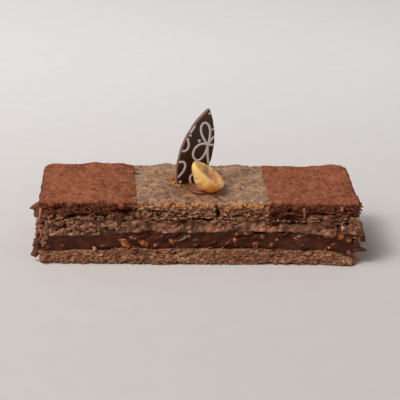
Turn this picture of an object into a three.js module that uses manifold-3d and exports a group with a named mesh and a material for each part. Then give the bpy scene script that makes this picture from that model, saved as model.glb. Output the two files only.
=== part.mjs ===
// A slice of chocolate mille-feuille. Two sheets of cocoa puff pastry hold a layer of dark chocolate cream with
// hazelnut pieces and a thinner layer of praline cream. Cocoa powder covers both ends of the top. On the bare
// middle a chocolate leaf stands in the pastry, and half a roasted hazelnut sits on a dab of chocolate.
// Millimetres, +Z up, the front of the slice at -Y, the origin under the middle of the slice.
import * as THREE from "three";
import { mergeVertices } from "three/addons/utils/BufferGeometryUtils.js";
import Module from "manifold-3d";

const wasm = await Module();
wasm.setup();

// Driving dimensions of the slice
const SLICE_LENGTH = 120; // cut end to cut end, along X
const SLICE_WIDTH = 38; // front to back, along Y
const CORNER_RADIUS = 3; // of the upright corners
const BASE_TOP = 6.3; // the height where each layer ends
const BASE_SLUMP = 1.5; // how far the base sinks at its front right corner
const CREAM_FALL = 1.8; // how much lower the dark cream is at the left
const CREAM_TOP = 13.8;
const PRALINE_TOP = 18.2;
const CRUST_TOP = 25.3;
const LAYER_GAP = 0.16; // left between layers that lie on each other
const FIT_GAP = 0.3; // left round a piece that is sunk into another

// Pastry: how far its torn edge stands in and out, and how many leaves of dough show at the cut
const PASTRY_RELIEF = 0.75;
const PASTRY_LEAVES = 5;
const LEDGE_SHARE = 0.16; // of a leaf's thickness, spent on the step to the next leaf
const RIM_DROP = { back: 0.25, front: 1, reach: 1.2 }; // how the top rounds down at its rim
const CRUST_SWELL = 0.3; // height of the slow bumps on the top

// Creams: behind the pastry at the front and the back, squeezed past it at the ends, with softer relief
const CREAM = { halfLength: 60.8, halfWidth: 18.1, relief: 0.5 };
const PRALINE = { halfLength: 61.2, halfWidth: 18.6, relief: 0.45 };

// Cocoa powder, and the stretch along X that a stencil kept bare
const COCOA_DEPTH = 0.55;
const COCOA_INSET = 0.01; // share of the half width that the powder stays inside the rim
const BARE_FROM = -24.4;
const BARE_TO = 25.5;

// The torn crack in the front of the top sheet
const CRACK = { x: 6.2, width: 1.1, depth: 2.6, bottom: 19.6 };

// Chocolate leaf: a lens of two arcs with its foot cut off, turned and leaning, sunk into the top sheet
const LEAF_HALF_LENGTH = 19.7; // of the whole lens
const LEAF_HALF_WIDTH = 6.4;
const LEAF_FOOT = 0.84; // share of the lower half that is kept
const LEAF_THICKNESS = 2.1;
const LEAF_BEVEL = 0.3;
const LEAF_STEPS = 14; // straight pieces along each arc
const LEAF_CENTRE = new THREE.Vector3(-1.72, 0.85, 36.5);
const LEAF_TURN = 14; // degrees about Z, from facing the front towards facing right
const LEAF_LEAN = 14.6; // degrees to the right

// Half hazelnut: its long axis points away from its tip, and its cut face looks up and to the right
const NUT_HALF_LENGTH = 6.69;
const NUT_TIP = 2.01; // how far its tip is drawn out
const NUT_TAPER = 0.11; // how much slimmer it is towards its tip
const NUT_RADIUS = 5.89;
const NUT_FULLNESS = 0.85; // power of the sine in its profile, below 1 for blunter ends
const NUT_DEPTH = 7.08; // from the cut face to the round back
const NUT_HOLLOW = { length: 5, width: 3.6, depth: 1.1 };
const NUT_CENTRE = new THREE.Vector3(4.07, -8.62, 33.19);
const NUT_AXIS = new THREE.Vector3(0.755, 0.264, -0.6).normalize();
const NUT_FACE = new THREE.Vector3(0.641, -0.111, 0.759).normalize();

// The dab of chocolate under the nut
const DAB_RADIUS = 4.9;
const DAB_HEIGHT = 2.8;
const DAB_CENTRE = new THREE.Vector3(1.6, -5.6, CRUST_TOP);

const HALF_LENGTH = SLICE_LENGTH / 2;
const HALF_WIDTH = SLICE_WIDTH / 2;
const OUTLINE_STEPS = 30; // points in each quarter of a pastry sheet's outline
const CREAM_OUTLINE_STEPS = 22;
const MERGE_TOLERANCE = 1e-4;

// A repeatable random number from 0 to 1 for a point of a lattice.
function chance(i, j, seed) {
  const wave = Math.sin(i * 127.1 + j * 311.7 + seed * 74.7) * 43758.5453;
  return wave - Math.floor(wave);
}

// Smooth noise from -1 to 1 round a closed outline, where round runs from 0 to 1.
function ripple(round, cells, row, seed) {
  const place = round * cells;
  const cell = Math.floor(place);
  const along = place - cell;
  const eased = along * along * (3 - 2 * along);
  const here = chance(cell % cells, row, seed);
  const there = chance((cell + 1) % cells, row, seed);
  return 2 * (here + (there - here) * eased) - 1;
}

// Slow waves of the surfaces where two layers meet, and of the top of the slice.
function meeting(height, phase) {
  const swell = 0.3;
  return (x, y) => height + swell * Math.sin(x / 7 + phase) * Math.cos(y / 5 + 2 * phase);
}

function crustTop(x, y) {
  const first = Math.sin(x / 5.1 + Math.sin(y / 6.3)) * Math.cos(y / 4.7 + 0.4);
  const second = Math.sin(x / 11.3 + 1.7) * Math.sin(y / 8.9 + 0.6);
  const fall = (inside) => Math.exp(Math.min(inside, 0) / RIM_DROP.reach);
  const rim = RIM_DROP.back * fall(Math.max(Math.abs(x) - HALF_LENGTH, y - HALF_WIDTH));
  const brow = RIM_DROP.front * fall(-y - HALF_WIDTH);
  return CRUST_TOP + CRUST_SWELL * (0.6 * first + 0.4 * second) - rim - brow;
}

// The base sinks towards its front right corner.
function slump(x, y) {
  return BASE_SLUMP * THREE.MathUtils.smoothstep(x, 48, 57) * THREE.MathUtils.smoothstep(-y, -4, 12);
}

// The dark cream is thinner towards its left end.
function creamFall(x) {
  return CREAM_FALL * (1 - THREE.MathUtils.smoothstep(x, -38, -26));
}

const plate = () => 0;
const baseWaves = meeting(BASE_TOP, 0.4);
const baseMeeting = (x, y) => baseWaves(x, y) - slump(x, y);
const creamWaves = meeting(CREAM_TOP, 1.9);
const creamMeeting = (x, y) => creamWaves(x, y) - creamFall(x);
const pralineMeeting = meeting(PRALINE_TOP, 3.3);
const raised = (surface, by) => (x, y) => surface(x, y) + by;

// Points round a rounded rectangle, anticlockwise, each with its outward direction and the middle point it
// faces. A quarter is worked out and mirrored, so that the front and the back have the same X.
function outline(halfLength, halfWidth, steps) {
  const straight = halfLength - CORNER_RADIUS;
  const corner = (Math.PI / 2) * CORNER_RADIUS;
  const quarterLength = straight + corner + halfWidth - CORNER_RADIUS;
  const quarter = Array.from({ length: steps }, (_, step) => {
    const walked = ((step + 0.5) / steps) * quarterLength;
    const turn = THREE.MathUtils.clamp((walked - straight) / CORNER_RADIUS, 0, Math.PI / 2);
    const up = Math.max(walked - straight - corner, 0);
    return {
      x: Math.min(walked, straight) + CORNER_RADIUS * Math.sin(turn),
      y: up - (halfWidth - CORNER_RADIUS) - CORNER_RADIUS * Math.cos(turn),
      outX: Math.sin(turn),
      outY: -Math.cos(turn),
    };
  });
  const mirrored = (list, alongX, alongY) =>
    list.map((p) => ({ x: p.x * alongX, y: p.y * alongY, outX: p.outX * alongX, outY: p.outY * alongY }));
  const reversed = [...quarter].reverse();
  const points = [
    ...quarter,
    ...mirrored(reversed, 1, -1),
    ...mirrored(quarter, -1, -1),
    ...mirrored(reversed, -1, 1),
  ];
  const reachOfMiddle = halfLength - halfWidth;
  return points.map((p, i) => ({
    ...p,
    round: i / points.length,
    middle: new THREE.Vector2(THREE.MathUtils.clamp(p.x, -reachOfMiddle, reachOfMiddle), 0),
  }));
}

// A ring of the outline pushed out by reach(point), at the share(point) of the height between two surfaces.
function sideRing(points, low, high, reach, share) {
  return points.map((p) => {
    const out = reach(p);
    const x = p.x + p.outX * out;
    const y = p.y + p.outY * out;
    const part = share(p);
    return new THREE.Vector3(x, y, (1 - part) * low(x, y) + part * high(x, y));
  });
}

// A ring drawn in from an edge towards the middle line of the layer, lying on a surface.
function capRing(points, edge, surface, inset) {
  return points.map((p, i) => {
    const x = (1 - inset) * edge[i].x + inset * p.middle.x;
    const y = (1 - inset) * edge[i].y + inset * p.middle.y;
    return new THREE.Vector3(x, y, surface(x, y));
  });
}

// Joins closed rings, listed from the underside to the top, into one closed surface.
function loft(rings) {
  const count = rings[0].length;
  const positions = rings.flatMap((ring) => ring.flatMap((p) => p.toArray()));
  const index = [];
  for (let ring = 0; ring + 1 < rings.length; ring++) {
    for (let i = 0; i < count; i++) {
      const here = ring * count + i;
      const next = ring * count + ((i + 1) % count);
      index.push(here, next, next + count, here, next + count, here + count);
    }
  }
  return new THREE.BufferGeometry()
    .setAttribute("position", new THREE.Float32BufferAttribute(positions, 3))
    .setIndex(index);
}

// A layer of the slice: an underside, rings of its side wall, and a top, with both caps drawn in to the middle.
function layer(points, side, low, high, lowInsets, highInsets) {
  const under = lowInsets.map((inset) => capRing(points, side[0], low, inset)).reverse();
  const over = highInsets.map((inset) => capRing(points, side.at(-1), high, inset));
  return loft([...under, ...side, ...over]);
}

const HIDDEN_INSETS = [0.12, 1];
const TOP_INSETS = [0.06, 0.17, 1];

// A closed surface as a solid for cutting and joining: shared points merged, flattened triangles dropped.
function solidOf(geometry) {
  const bare = new THREE.BufferGeometry().setAttribute("position", geometry.getAttribute("position"));
  const merged = mergeVertices(bare.setIndex(geometry.index), MERGE_TOLERANCE);
  const corners = merged.index.array;
  const triVerts = [];
  for (let i = 0; i < corners.length; i += 3) {
    const triangle = [corners[i], corners[i + 1], corners[i + 2]];
    if (new Set(triangle).size === 3) triVerts.push(...triangle);
  }
  return new wasm.Manifold(
    new wasm.Mesh({
      numProp: 3,
      vertProperties: merged.getAttribute("position").array,
      triVerts: new Uint32Array(triVerts),
    }),
  );
}

function geometryOf(solid) {
  const { vertProperties, triVerts } = solid.getMesh();
  const geometry = new THREE.BufferGeometry()
    .setAttribute("position", new THREE.BufferAttribute(new Float32Array(vertProperties), 3))
    .setIndex(new THREE.BufferAttribute(new Uint32Array(triVerts), 1))
    .toNonIndexed();
  geometry.computeVertexNormals();
  return geometry;
}

const joined = (solid, pieces) => pieces.reduce((whole, piece) => whole.add(solidOf(piece)), solid);
const cut = (solid, pieces) => pieces.reduce((whole, piece) => whole.subtract(solidOf(piece)), solid);

// The laminated edge of a pastry sheet: each leaf of dough is a band with its own torn edge and a ledge.
function pastryLayer(halfLength, halfWidth, low, high, highInsets, seed) {
  const points = outline(halfLength, halfWidth, OUTLINE_STEPS);
  const side = [];
  for (let leaf = 0; leaf < PASTRY_LEAVES; leaf++) {
    const torn = (p) => {
      const broad = ripple(p.round, 57, leaf, seed);
      const fine = ripple(p.round, points.length, leaf, seed + 1);
      return PASTRY_RELIEF * (0.6 * broad + 0.5 * fine);
    };
    const boundary = (p, edge) => {
      const inside = edge > 0 && edge < PASTRY_LEAVES;
      return (edge + (inside ? 0.3 * ripple(p.round, 31, edge, seed + 2) : 0)) / PASTRY_LEAVES;
    };
    const ledge = LEDGE_SHARE / PASTRY_LEAVES;
    const foot = (p) => boundary(p, leaf) + (leaf > 0 ? ledge : 0);
    const brow = (p) => boundary(p, leaf + 1) - (leaf + 1 < PASTRY_LEAVES ? ledge : 0);
    side.push(sideRing(points, low, high, torn, foot), sideRing(points, low, high, torn, brow));
  }
  return layer(points, side, low, high, HIDDEN_INSETS, highInsets);
}

// The smeared edge of a cream layer: soft ridges that bulge between the pastry sheets.
function creamLayer({ halfLength, halfWidth, relief }, low, high, seed) {
  const points = outline(halfLength, halfWidth, CREAM_OUTLINE_STEPS);
  const shares = [0, 0.25, 0.5, 0.75, 1];
  const side = shares.map((share, row) => {
    const bulge = 0.6 * Math.sin(Math.PI * share);
    const smeared = (p) => relief * (ripple(p.round, 43, row, seed) + bulge);
    return sideRing(points, low, high, smeared, () => share);
  });
  return layer(points, side, low, high, HIDDEN_INSETS, HIDDEN_INSETS);
}

// A torn flake of dough or set chocolate: a thin ragged blade that starts inside the slice and points away from
// it. It lies flat, or stands on edge with a roll of 90, and its tip is that many widths off its middle.
function flake({ x, y, z, heading, pitch = 0, roll = 0, reach, width, tip = 0.06, thickness }) {
  const root = 3; // buried length
  const blade = new THREE.Shape([
    new THREE.Vector2(-root, -width / 2),
    new THREE.Vector2(0.35 * reach, -0.48 * width),
    new THREE.Vector2(reach, tip * width),
    new THREE.Vector2(0.4 * reach, 0.36 * width),
    new THREE.Vector2(-root, width / 2),
  ]);
  const geometry = new THREE.ExtrudeGeometry(blade, { depth: thickness, bevelEnabled: false });
  geometry.translate(0, 0, -thickness / 2);
  geometry.rotateX(THREE.MathUtils.degToRad(roll));
  geometry.rotateY(THREE.MathUtils.degToRad(-pitch));
  geometry.rotateZ(THREE.MathUtils.degToRad(heading));
  return geometry.translate(x, y, z);
}

// Small flakes spread along the front and the back of a sheet, by a seeded rule.
function flakesAlong(zLow, zHigh, count, seed) {
  return Array.from({ length: count }, (_, i) => {
    const front = i % 2 === 0;
    const step = (2 * HALF_LENGTH - 12) / count;
    return {
      x: -HALF_LENGTH + 6 + step * (i + 0.8 * chance(i, 1, seed)),
      y: (front ? -1 : 1) * (HALF_WIDTH - 0.2),
      z: THREE.MathUtils.lerp(zLow, zHigh, chance(i, 2, seed)),
      heading: (front ? -90 : 90) + 60 * (chance(i, 3, seed) - 0.5),
      pitch: 24 * (chance(i, 4, seed) - 0.5),
      reach: 1 + 0.6 * chance(i, 5, seed),
      width: 2.5 + 2 * chance(i, 6, seed),
      thickness: 0.5,
    };
  });
}

// A chopped piece of roasted hazelnut that shows at the cut side of the cream.
function nutPiece({ x, y, z, size }, i) {
  const piece = new THREE.IcosahedronGeometry(size, 0);
  piece.scale(1, 0.8, 0.75);
  piece.rotateY(5 * chance(i, 1, 17));
  piece.rotateX(5 * chance(i, 2, 17));
  return piece.translate(x, y, z);
}

// Where hazelnut pieces show: along the front, the back and the two ends, by X or Y and height.
function nutPieces() {
  const sunk = 0.5;
  const depth = CREAM.halfWidth - sunk;
  const front = [
    [-28, 8.9, 1.9],
    [-20.6, 9.3, 1.6],
    [-10.8, 9.5, 1.5],
    [14.5, 9.3, 1.4],
    [21.3, 8.8, 1.7],
    [38.8, 9.5, 1.8],
    [52, 11.9, 1.8],
  ].map(([x, z, size]) => ({ x, y: -depth, z, size }));
  const middle = (x) => (BASE_TOP + CREAM_TOP - creamFall(x)) / 2;
  const back = front.map(({ x, z, size }) => ({ x: 4 - x, y: depth, z: middle(4 - x) + 0.2 * (9.5 - z), size }));
  const ends = [-1, 1].flatMap((side) =>
    [-9, 3, 10].map((y) => ({
      x: side * (CREAM.halfLength - sunk),
      y: side * y,
      z: middle(side * HALF_LENGTH) + 0.08 * y,
      size: 1.6,
    })),
  );
  return [...front, ...back, ...ends].map(nutPiece);
}

// The chocolate leaf, grown all round by a margin when it stands for the slot that it needs.
function leafGeometry(margin) {
  const halfLength = LEAF_HALF_LENGTH + margin;
  const halfWidth = LEAF_HALF_WIDTH + margin;
  const radius = (halfLength ** 2 + halfWidth ** 2) / (2 * halfWidth);
  const tipSweep = Math.asin(halfLength / radius);
  const footSweep = Math.asin((LEAF_FOOT * LEAF_HALF_LENGTH + margin) / radius);
  const arc = (side, from, to) =>
    Array.from({ length: LEAF_STEPS + 1 }, (_, i) => {
      const angle = THREE.MathUtils.lerp(from, to, i / LEAF_STEPS);
      return new THREE.Vector2(
        side * (radius * Math.cos(angle) - radius + halfWidth),
        side * radius * Math.sin(angle),
      );
    });
  const rising = arc(1, -footSweep, tipSweep);
  const falling = arc(-1, -tipSweep, footSweep).slice(1);
  const depth = LEAF_THICKNESS + 2 * margin - 2 * LEAF_BEVEL;
  const geometry = new THREE.ExtrudeGeometry(new THREE.Shape([...rising, ...falling]), {
    depth,
    bevelThickness: LEAF_BEVEL,
    bevelSize: LEAF_BEVEL,
    bevelOffset: -LEAF_BEVEL,
    bevelSegments: 1,
  });
  return geometry.translate(0, 0, -depth / 2);
}

// Half a hazelnut: a nut turned about Y with a blunt end and a tip, halved lengthways, with a shallow hollow.
function nutGeometry() {
  const rows = 12;
  const profile = Array.from({ length: rows + 1 }, (_, i) => {
    const angle = (Math.PI * i) / rows;
    const taper = 1 - NUT_TAPER * Math.cos(angle);
    const tip = NUT_TIP * Math.max(Math.cos(angle), 0) ** 5;
    const onAxis = i === 0 || i === rows;
    const radius = onAxis ? 0 : NUT_RADIUS * Math.sin(angle) ** NUT_FULLNESS * taper;
    return new THREE.Vector2(radius, -NUT_HALF_LENGTH * Math.cos(angle) - tip);
  });
  const whole = new THREE.LatheGeometry(profile, 20).scale(1, 1, NUT_DEPTH / NUT_RADIUS);
  const otherHalf = new THREE.BoxGeometry(4 * NUT_RADIUS, 4 * NUT_RADIUS, 2 * NUT_RADIUS);
  otherHalf.translate(0, 0, NUT_RADIUS);
  const hollow = new THREE.SphereGeometry(1, 16, 8);
  hollow.scale(NUT_HOLLOW.width, NUT_HOLLOW.length, NUT_HOLLOW.depth);
  return geometryOf(cut(solidOf(whole), [otherHalf, hollow]));
}

// A low dome of chocolate, with its foot below the crust so that it can be cut to fit.
function dabGeometry() {
  const rows = 6;
  const foot = -1.5;
  const dome = Array.from({ length: rows + 1 }, (_, i) => {
    const angle = (Math.PI / 2) * (i / rows);
    return new THREE.Vector2(i === rows ? 0 : DAB_RADIUS * Math.cos(angle), DAB_HEIGHT * Math.sin(angle));
  });
  const profile = [new THREE.Vector2(0, foot), new THREE.Vector2(DAB_RADIUS, foot), ...dome];
  return new THREE.LatheGeometry(profile, 24).rotateX(Math.PI / 2);
}

// A material named for what it is made of.
function food(name, color, roughness) {
  return new THREE.MeshStandardMaterial({ name, color, roughness, metalness: 0 });
}

const pastry = food("cocoa puff pastry", 0x7a5238, 0.85);
const darkCream = food("dark chocolate cream", 0x41231a, 0.35);
const pralineCream = food("praline cream", 0x6a4636, 0.5);
const cocoa = food("cocoa powder", 0x91563d, 1);
const chocolate = food("dark chocolate", 0x2b130d, 0.3);
const dabChocolate = food("soft chocolate", 0x5f3a2a, 0.35);
const hazelnut = food("roasted hazelnut", 0xe8b865, 0.5);

function node(name, geometry, material) {
  const mesh = new THREE.Mesh(geometry, material);
  mesh.name = name;
  return mesh;
}

// The leaf and the nut are placed first, because the pieces that hold them are cut to fit.
const leaf = node("chocolate_leaf", leafGeometry(0), chocolate);
leaf.rotation.set(Math.PI / 2, 0, THREE.MathUtils.degToRad(-LEAF_LEAN));
const leafStand = new THREE.Group();
leafStand.position.copy(LEAF_CENTRE);
leafStand.rotation.z = THREE.MathUtils.degToRad(LEAF_TURN);
leafStand.add(leaf);
leafStand.updateMatrixWorld(true);
const leafSlot = leafGeometry(FIT_GAP).applyMatrix4(leaf.matrixWorld);

const nut = node("hazelnut_half", nutGeometry(), hazelnut);
const nutAcross = new THREE.Vector3().crossVectors(NUT_AXIS, NUT_FACE);
nut.position.copy(NUT_CENTRE);
nut.quaternion.setFromRotationMatrix(new THREE.Matrix4().makeBasis(nutAcross, NUT_AXIS, NUT_FACE));
nut.updateMatrixWorld(true);
const nutGrowth = 1 + FIT_GAP / (0.8 * NUT_RADIUS);
const nutSeat = nut.geometry.clone().scale(nutGrowth, nutGrowth, nutGrowth).applyMatrix4(nut.matrixWorld);

// Base sheet
const baseFlakes = [
  { x: -60, y: -16, z: 3.5, heading: 180, roll: 90, reach: 3.8, width: 4.2, tip: -0.25, thickness: 1.8 },
  { x: -60, y: 8, z: 4, heading: 170, reach: 2, width: 6, thickness: 0.8 },
  { x: 59.5, y: -15, z: 1.2, heading: -14, reach: 1.6, width: 5, thickness: 0.9 },
  { x: 59.5, y: 9, z: 3.6, heading: 12, pitch: 4, reach: 2.2, width: 6, thickness: 0.8 },
  ...flakesAlong(0.7, 4.6, 14, 5),
];
const baseSheet = pastryLayer(
  HALF_LENGTH,
  HALF_WIDTH,
  plate,
  raised(baseMeeting, -LAYER_GAP / 2),
  HIDDEN_INSETS,
  11,
);
const base = joined(solidOf(baseSheet), baseFlakes.map(flake));

// Dark chocolate cream
const spike = { x: 60.5, y: -17, z: 8, heading: 0, roll: 90, reach: 4, width: 2.6, tip: -0.45, thickness: 1.6 };
const creamBody = creamLayer(
  CREAM,
  raised(baseMeeting, LAYER_GAP / 2),
  raised(creamMeeting, -LAYER_GAP / 2),
  23,
);
const cream = joined(solidOf(creamBody), [...nutPieces(), flake(spike)]);

// Praline cream, with a torn piece that hangs off its right end
const hook = { x: 61, y: -16, z: 16, heading: 0, roll: 90, reach: 3.3, width: 3.4, tip: -1.8, thickness: 1.6 };
const pralineBody = creamLayer(
  PRALINE,
  raised(creamMeeting, LAYER_GAP / 2),
  raised(pralineMeeting, -LAYER_GAP / 2),
  31,
);
const praline = joined(solidOf(pralineBody), [flake(hook)]);

// Top sheet, with the torn crack and the slot for the leaf
const crack = new THREE.ExtrudeGeometry(
  new THREE.Shape([
    new THREE.Vector2(-CRACK.width / 2, -2 * CRACK.depth),
    new THREE.Vector2(CRACK.width / 2, -2 * CRACK.depth),
    new THREE.Vector2(0.2 * CRACK.width, CRACK.depth),
  ]),
  { depth: CRUST_TOP, bevelEnabled: false },
).translate(CRACK.x, -HALF_WIDTH, CRACK.bottom);
const crustFlakes = [
  { x: -60, y: -16, z: 21.5, heading: 180, roll: 90, reach: 3.5, width: 5.2, tip: 0.15, thickness: 1.8 },
  { x: -60, y: 6, z: 20.2, heading: 172, pitch: -5, reach: 2.4, width: 7, thickness: 0.7 },
  { x: 60, y: -17, z: 22.4, heading: 0, roll: 90, reach: 1.8, width: 3, tip: 0.2, thickness: 1.4 },
  { x: 60, y: 8, z: 20.8, heading: 6, pitch: -6, reach: 2.4, width: 6, thickness: 0.7 },
  ...flakesAlong(19.4, 23.4, 16, 9),
];
const crustSheet = pastryLayer(
  HALF_LENGTH,
  HALF_WIDTH,
  raised(pralineMeeting, LAYER_GAP / 2),
  crustTop,
  TOP_INSETS,
  41,
);
const crust = cut(joined(solidOf(crustSheet), crustFlakes.map(flake)), [crack, leafSlot]);

// Cocoa powder: a thin sheet over the whole top, cut back to the two dusted ends
const cocoaPoints = outline(HALF_LENGTH, HALF_WIDTH, OUTLINE_STEPS);
const cocoaUnder = raised(crustTop, LAYER_GAP);
const cocoaOver = raised(crustTop, LAYER_GAP + COCOA_DEPTH);
const cocoaEdge = cocoaPoints.map((p) => new THREE.Vector3(p.x, p.y, 0));
const cocoaRim = capRing(cocoaPoints, cocoaEdge, cocoaUnder, COCOA_INSET);
const cocoaBrow = capRing(cocoaPoints, cocoaEdge, cocoaOver, 2 * COCOA_INSET);
const cocoaSide = [cocoaRim, cocoaBrow];
const cocoaSheet = solidOf(layer(cocoaPoints, cocoaSide, cocoaUnder, cocoaOver, TOP_INSETS, TOP_INSETS));

function cocoaBetween(from, to) {
  const window = new THREE.BoxGeometry(to - from, 2 * SLICE_WIDTH, CRUST_TOP);
  window.translate((from + to) / 2, 0, CRUST_TOP);
  return geometryOf(cocoaSheet.intersect(solidOf(window)));
}

// The dab of chocolate, cut to the crust below it and to the nut on it
const dabFloor = crustSheet.clone().translate(0, 0, LAYER_GAP);
const dabDome = dabGeometry().translate(DAB_CENTRE.x, DAB_CENTRE.y, DAB_CENTRE.z);
const dab = cut(solidOf(dabDome), [dabFloor, nutSeat]);

const slice = new THREE.Group();
slice.add(
  node("base_pastry", geometryOf(base), pastry),
  node("chocolate_cream", geometryOf(cream), darkCream),
  node("praline_cream", geometryOf(praline), pralineCream),
  node("top_pastry", geometryOf(crust), pastry),
  node("cocoa_left", cocoaBetween(-SLICE_LENGTH, BARE_FROM), cocoa),
  node("cocoa_right", cocoaBetween(BARE_TO, SLICE_LENGTH), cocoa),
  node("chocolate_dab", geometryOf(dab), dabChocolate),
  leafStand,
  nut,
);

export default slice;
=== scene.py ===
"""A slice of chocolate mille-feuille: its looks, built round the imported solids.

Shapes are worked out in millimetres and stored in metres. X runs along the slice, Y to its back, Z up.
"""

import bpy
import numpy as np
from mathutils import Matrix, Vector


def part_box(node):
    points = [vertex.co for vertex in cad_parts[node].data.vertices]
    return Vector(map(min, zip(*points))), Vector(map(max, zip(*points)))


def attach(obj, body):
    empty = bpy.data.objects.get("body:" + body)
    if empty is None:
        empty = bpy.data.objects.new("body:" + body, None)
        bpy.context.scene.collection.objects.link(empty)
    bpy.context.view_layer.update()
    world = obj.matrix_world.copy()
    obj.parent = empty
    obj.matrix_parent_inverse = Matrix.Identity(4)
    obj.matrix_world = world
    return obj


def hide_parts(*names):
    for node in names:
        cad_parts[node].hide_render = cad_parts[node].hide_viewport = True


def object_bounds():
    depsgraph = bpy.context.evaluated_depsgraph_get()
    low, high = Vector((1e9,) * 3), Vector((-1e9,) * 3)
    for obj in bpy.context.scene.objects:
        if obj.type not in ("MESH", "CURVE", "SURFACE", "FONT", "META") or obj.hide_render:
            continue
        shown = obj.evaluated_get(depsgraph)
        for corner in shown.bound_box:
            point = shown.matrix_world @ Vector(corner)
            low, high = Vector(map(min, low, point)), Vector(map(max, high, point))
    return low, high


MM = 0.001

# Sizes of the slice, in millimetres
HALF_LENGTH = 60.0
HALF_WIDTH = 19.0
CORNER = 3.0  # radius of the outline's corners
BASE_TOP = 6.3
CREAM_TOP = 14.1  # before its falls
CREAM_FALL = 1.8  # how much lower the dark cream is at the left
CREAM_OUT = 0.6  # how far both creams stand out at the ends
CREAM_INSET = 0.9  # how far the dark cream is set back at the sides
PRALINE_TOP = 18.2
PRALINE_INSET = 0.3
CRUST_TOP = 25.3
SWELL = 0.3  # of the top crust
RIM = 1.1  # radius on which the crust and the cocoa roll over the edge
HANG = 3.0  # how far past the front and the back the crust and the cocoa would reach if they lay flat
END_HANG = 3.1  # and how far past the two ends the cocoa would
POWDER_SHIFT = 0.2  # from the solids' edges of the cocoa to the stencil's, along X
LEFT_SLANT = -0.042  # of the cocoa's edge at the left: how far along X for each mm of Y
RIGHT_SLANT = 0.009  # of the one at the right
DUST_LINE = 20.0  # height down to which cocoa has dusted the sides of the two ends
CRACK = 6.5  # where the front of the upper sheet is torn, along X
CRACK_FOOT = 19.4  # height at which the crack begins
JUT = 0.7  # how far the front stands out left of the crack
FOOT = 1.6  # height of the base's ragged foot
FOOT_INSET = 2.4  # from the outline to the flat underside

# Swells along the back of the crust: where along X, and how high
BACK_SWELLS = ((-40.6, 0.8), (-30.5, 0.6), (-12.6, 0.9), (15.5, 0.5), (55.1, 0.6))

# Chocolate leaf
LEAF_HALF_LENGTH = 19.7
LEAF_HALF_WIDTH = 6.4
LEAF_FOOT = 0.84  # share of its lower half that is left above the cut foot
LEAF_TIP = 0.982  # share of its upper half, up to the blunt tip
LEAF_THICKNESS = 2.1
LEAF_ROUND = 0.32  # radius of its edges
LEAF_WAVER = 0.06  # of its outline
LEAF_CENTRE = np.array([-1.72, 0.85, 36.5])
LEAF_TURN = np.radians(14.0)
LEAF_LEAN = np.radians(14.6)
PRINT_WIDTH = 1.0
PRINT_HEIGHT = 0.07
PRINT_MARGIN = 0.16  # from the print to the leaf's edge

# Half hazelnut
NUT_HALF_LENGTH = 6.69
NUT_TIP = 2.01  # how far its tip is drawn out
NUT_TAPER = 0.11  # how much slimmer it is towards its tip
NUT_RADIUS = 5.89
NUT_FULLNESS = 0.85  # power of the sine in its profile, below 1 for blunter ends
NUT_DEPTH = 7.08
NUT_SHOULDER = 0.45  # how far the rounded edge of the cut face drops
NUT_HOLLOW = 1.5  # depth of the hollow in the cut face
NUT_HOLLOW_REACH = 5.9  # half the hollow's length
NUT_WRINKLE = 0.06  # share of the radius
NUT_CENTRE = np.array([4.07, -8.62, 33.19])
NUT_AXIS = np.array([0.755, 0.264, -0.6])
NUT_FACE = np.array([0.641, -0.111, 0.759])

# Dab of chocolate under the nut
DAB_RADIUS = 4.9
DAB_HEIGHT = 2.9
DAB_FOLD = 0.09  # height of the fold that winds up it, as a share of its radius
DAB_FOLDS = 8.0  # how steeply the fold winds
DAB_CENTRE = np.array([1.6, -5.6])

# Fine structure
CLOSE_PLY = 0.85  # height of one ply in the close pastry of the base
TORN_PLY = 0.68  # height of one ply in the torn pastry of the top
CHIP_LENGTH = 1.15  # of the torn pastry
CHIP_DEPTH = 0.95
SKIN_STEP = 0.24  # between the points of the crust
POWDER_STEP = 0.22  # between the points of the cocoa
FLAKE_THICKNESS = 0.3
SKIN_THICKNESS = 0.5  # of the crust and of the cocoa
TOP_FLAKES = 170  # small flakes on the sides of the upper sheet
BASE_FLAKES = 50  # and of the lower one

# Stage, in metres
BOARD_SIZE = 6.0
LIGHT_PLACE = (-0.85, -0.45, 1.3)
LIGHT_AIM = (0.0, 0.0, 0.02)
SKY_COLOUR = (1.0, 0.99, 0.98, 1.0)
SKY_STRENGTH = 0.26

# Camera, in millimetres
CAMERA_AZIMUTH = np.radians(-3.58)
CAMERA_HEIGHT = np.radians(23.90)
CAMERA_ROLL = np.radians(-1.94)
CAMERA_AWAY = 462.0
CAMERA_AIM = np.array([0.73, 0.0, 18.5])
LENS = 107.1
SENSOR = 36.0

TINY = 1e-9  # counts as 0, and keeps a division from meeting it

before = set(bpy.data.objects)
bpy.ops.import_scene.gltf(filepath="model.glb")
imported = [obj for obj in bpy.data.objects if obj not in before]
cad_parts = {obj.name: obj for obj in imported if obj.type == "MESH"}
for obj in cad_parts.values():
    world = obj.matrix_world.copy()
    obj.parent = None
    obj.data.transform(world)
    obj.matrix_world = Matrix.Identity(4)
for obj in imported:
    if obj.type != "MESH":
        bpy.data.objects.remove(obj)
cad_low, cad_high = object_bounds()
BARE_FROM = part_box("cocoa_left")[1].x / MM
BARE_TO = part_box("cocoa_right")[0].x / MM
rng = np.random.default_rng(11)


# Noise

def ease(low, high, value):
    """0 at low and 1 at high with a smooth S between. It runs down when low is above high."""
    t = np.clip((value - low) / (high - low), 0, 1)
    return t * t * (3 - 2 * t)


def bell(value):
    """The bell curve: 1 at 0, and down to 0 on both sides."""
    return np.exp(-(value**2))


def oval(x, y, middle_x, middle_y, half_length, half_width):
    """How far out of an oval a place is: 0 at the oval's middle and 1 on its edge."""
    return np.hypot((x - middle_x) / half_length, (y - middle_y) / half_width)


def draw(i, j, seed):
    """A repeatable draw from 0 to 1 for a pair of whole numbers: the fraction of a large sine."""
    wave = np.sin(i * 127.1 + j * 311.7 + seed * 74.7) * 43758.5453
    return wave - np.floor(wave)


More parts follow.
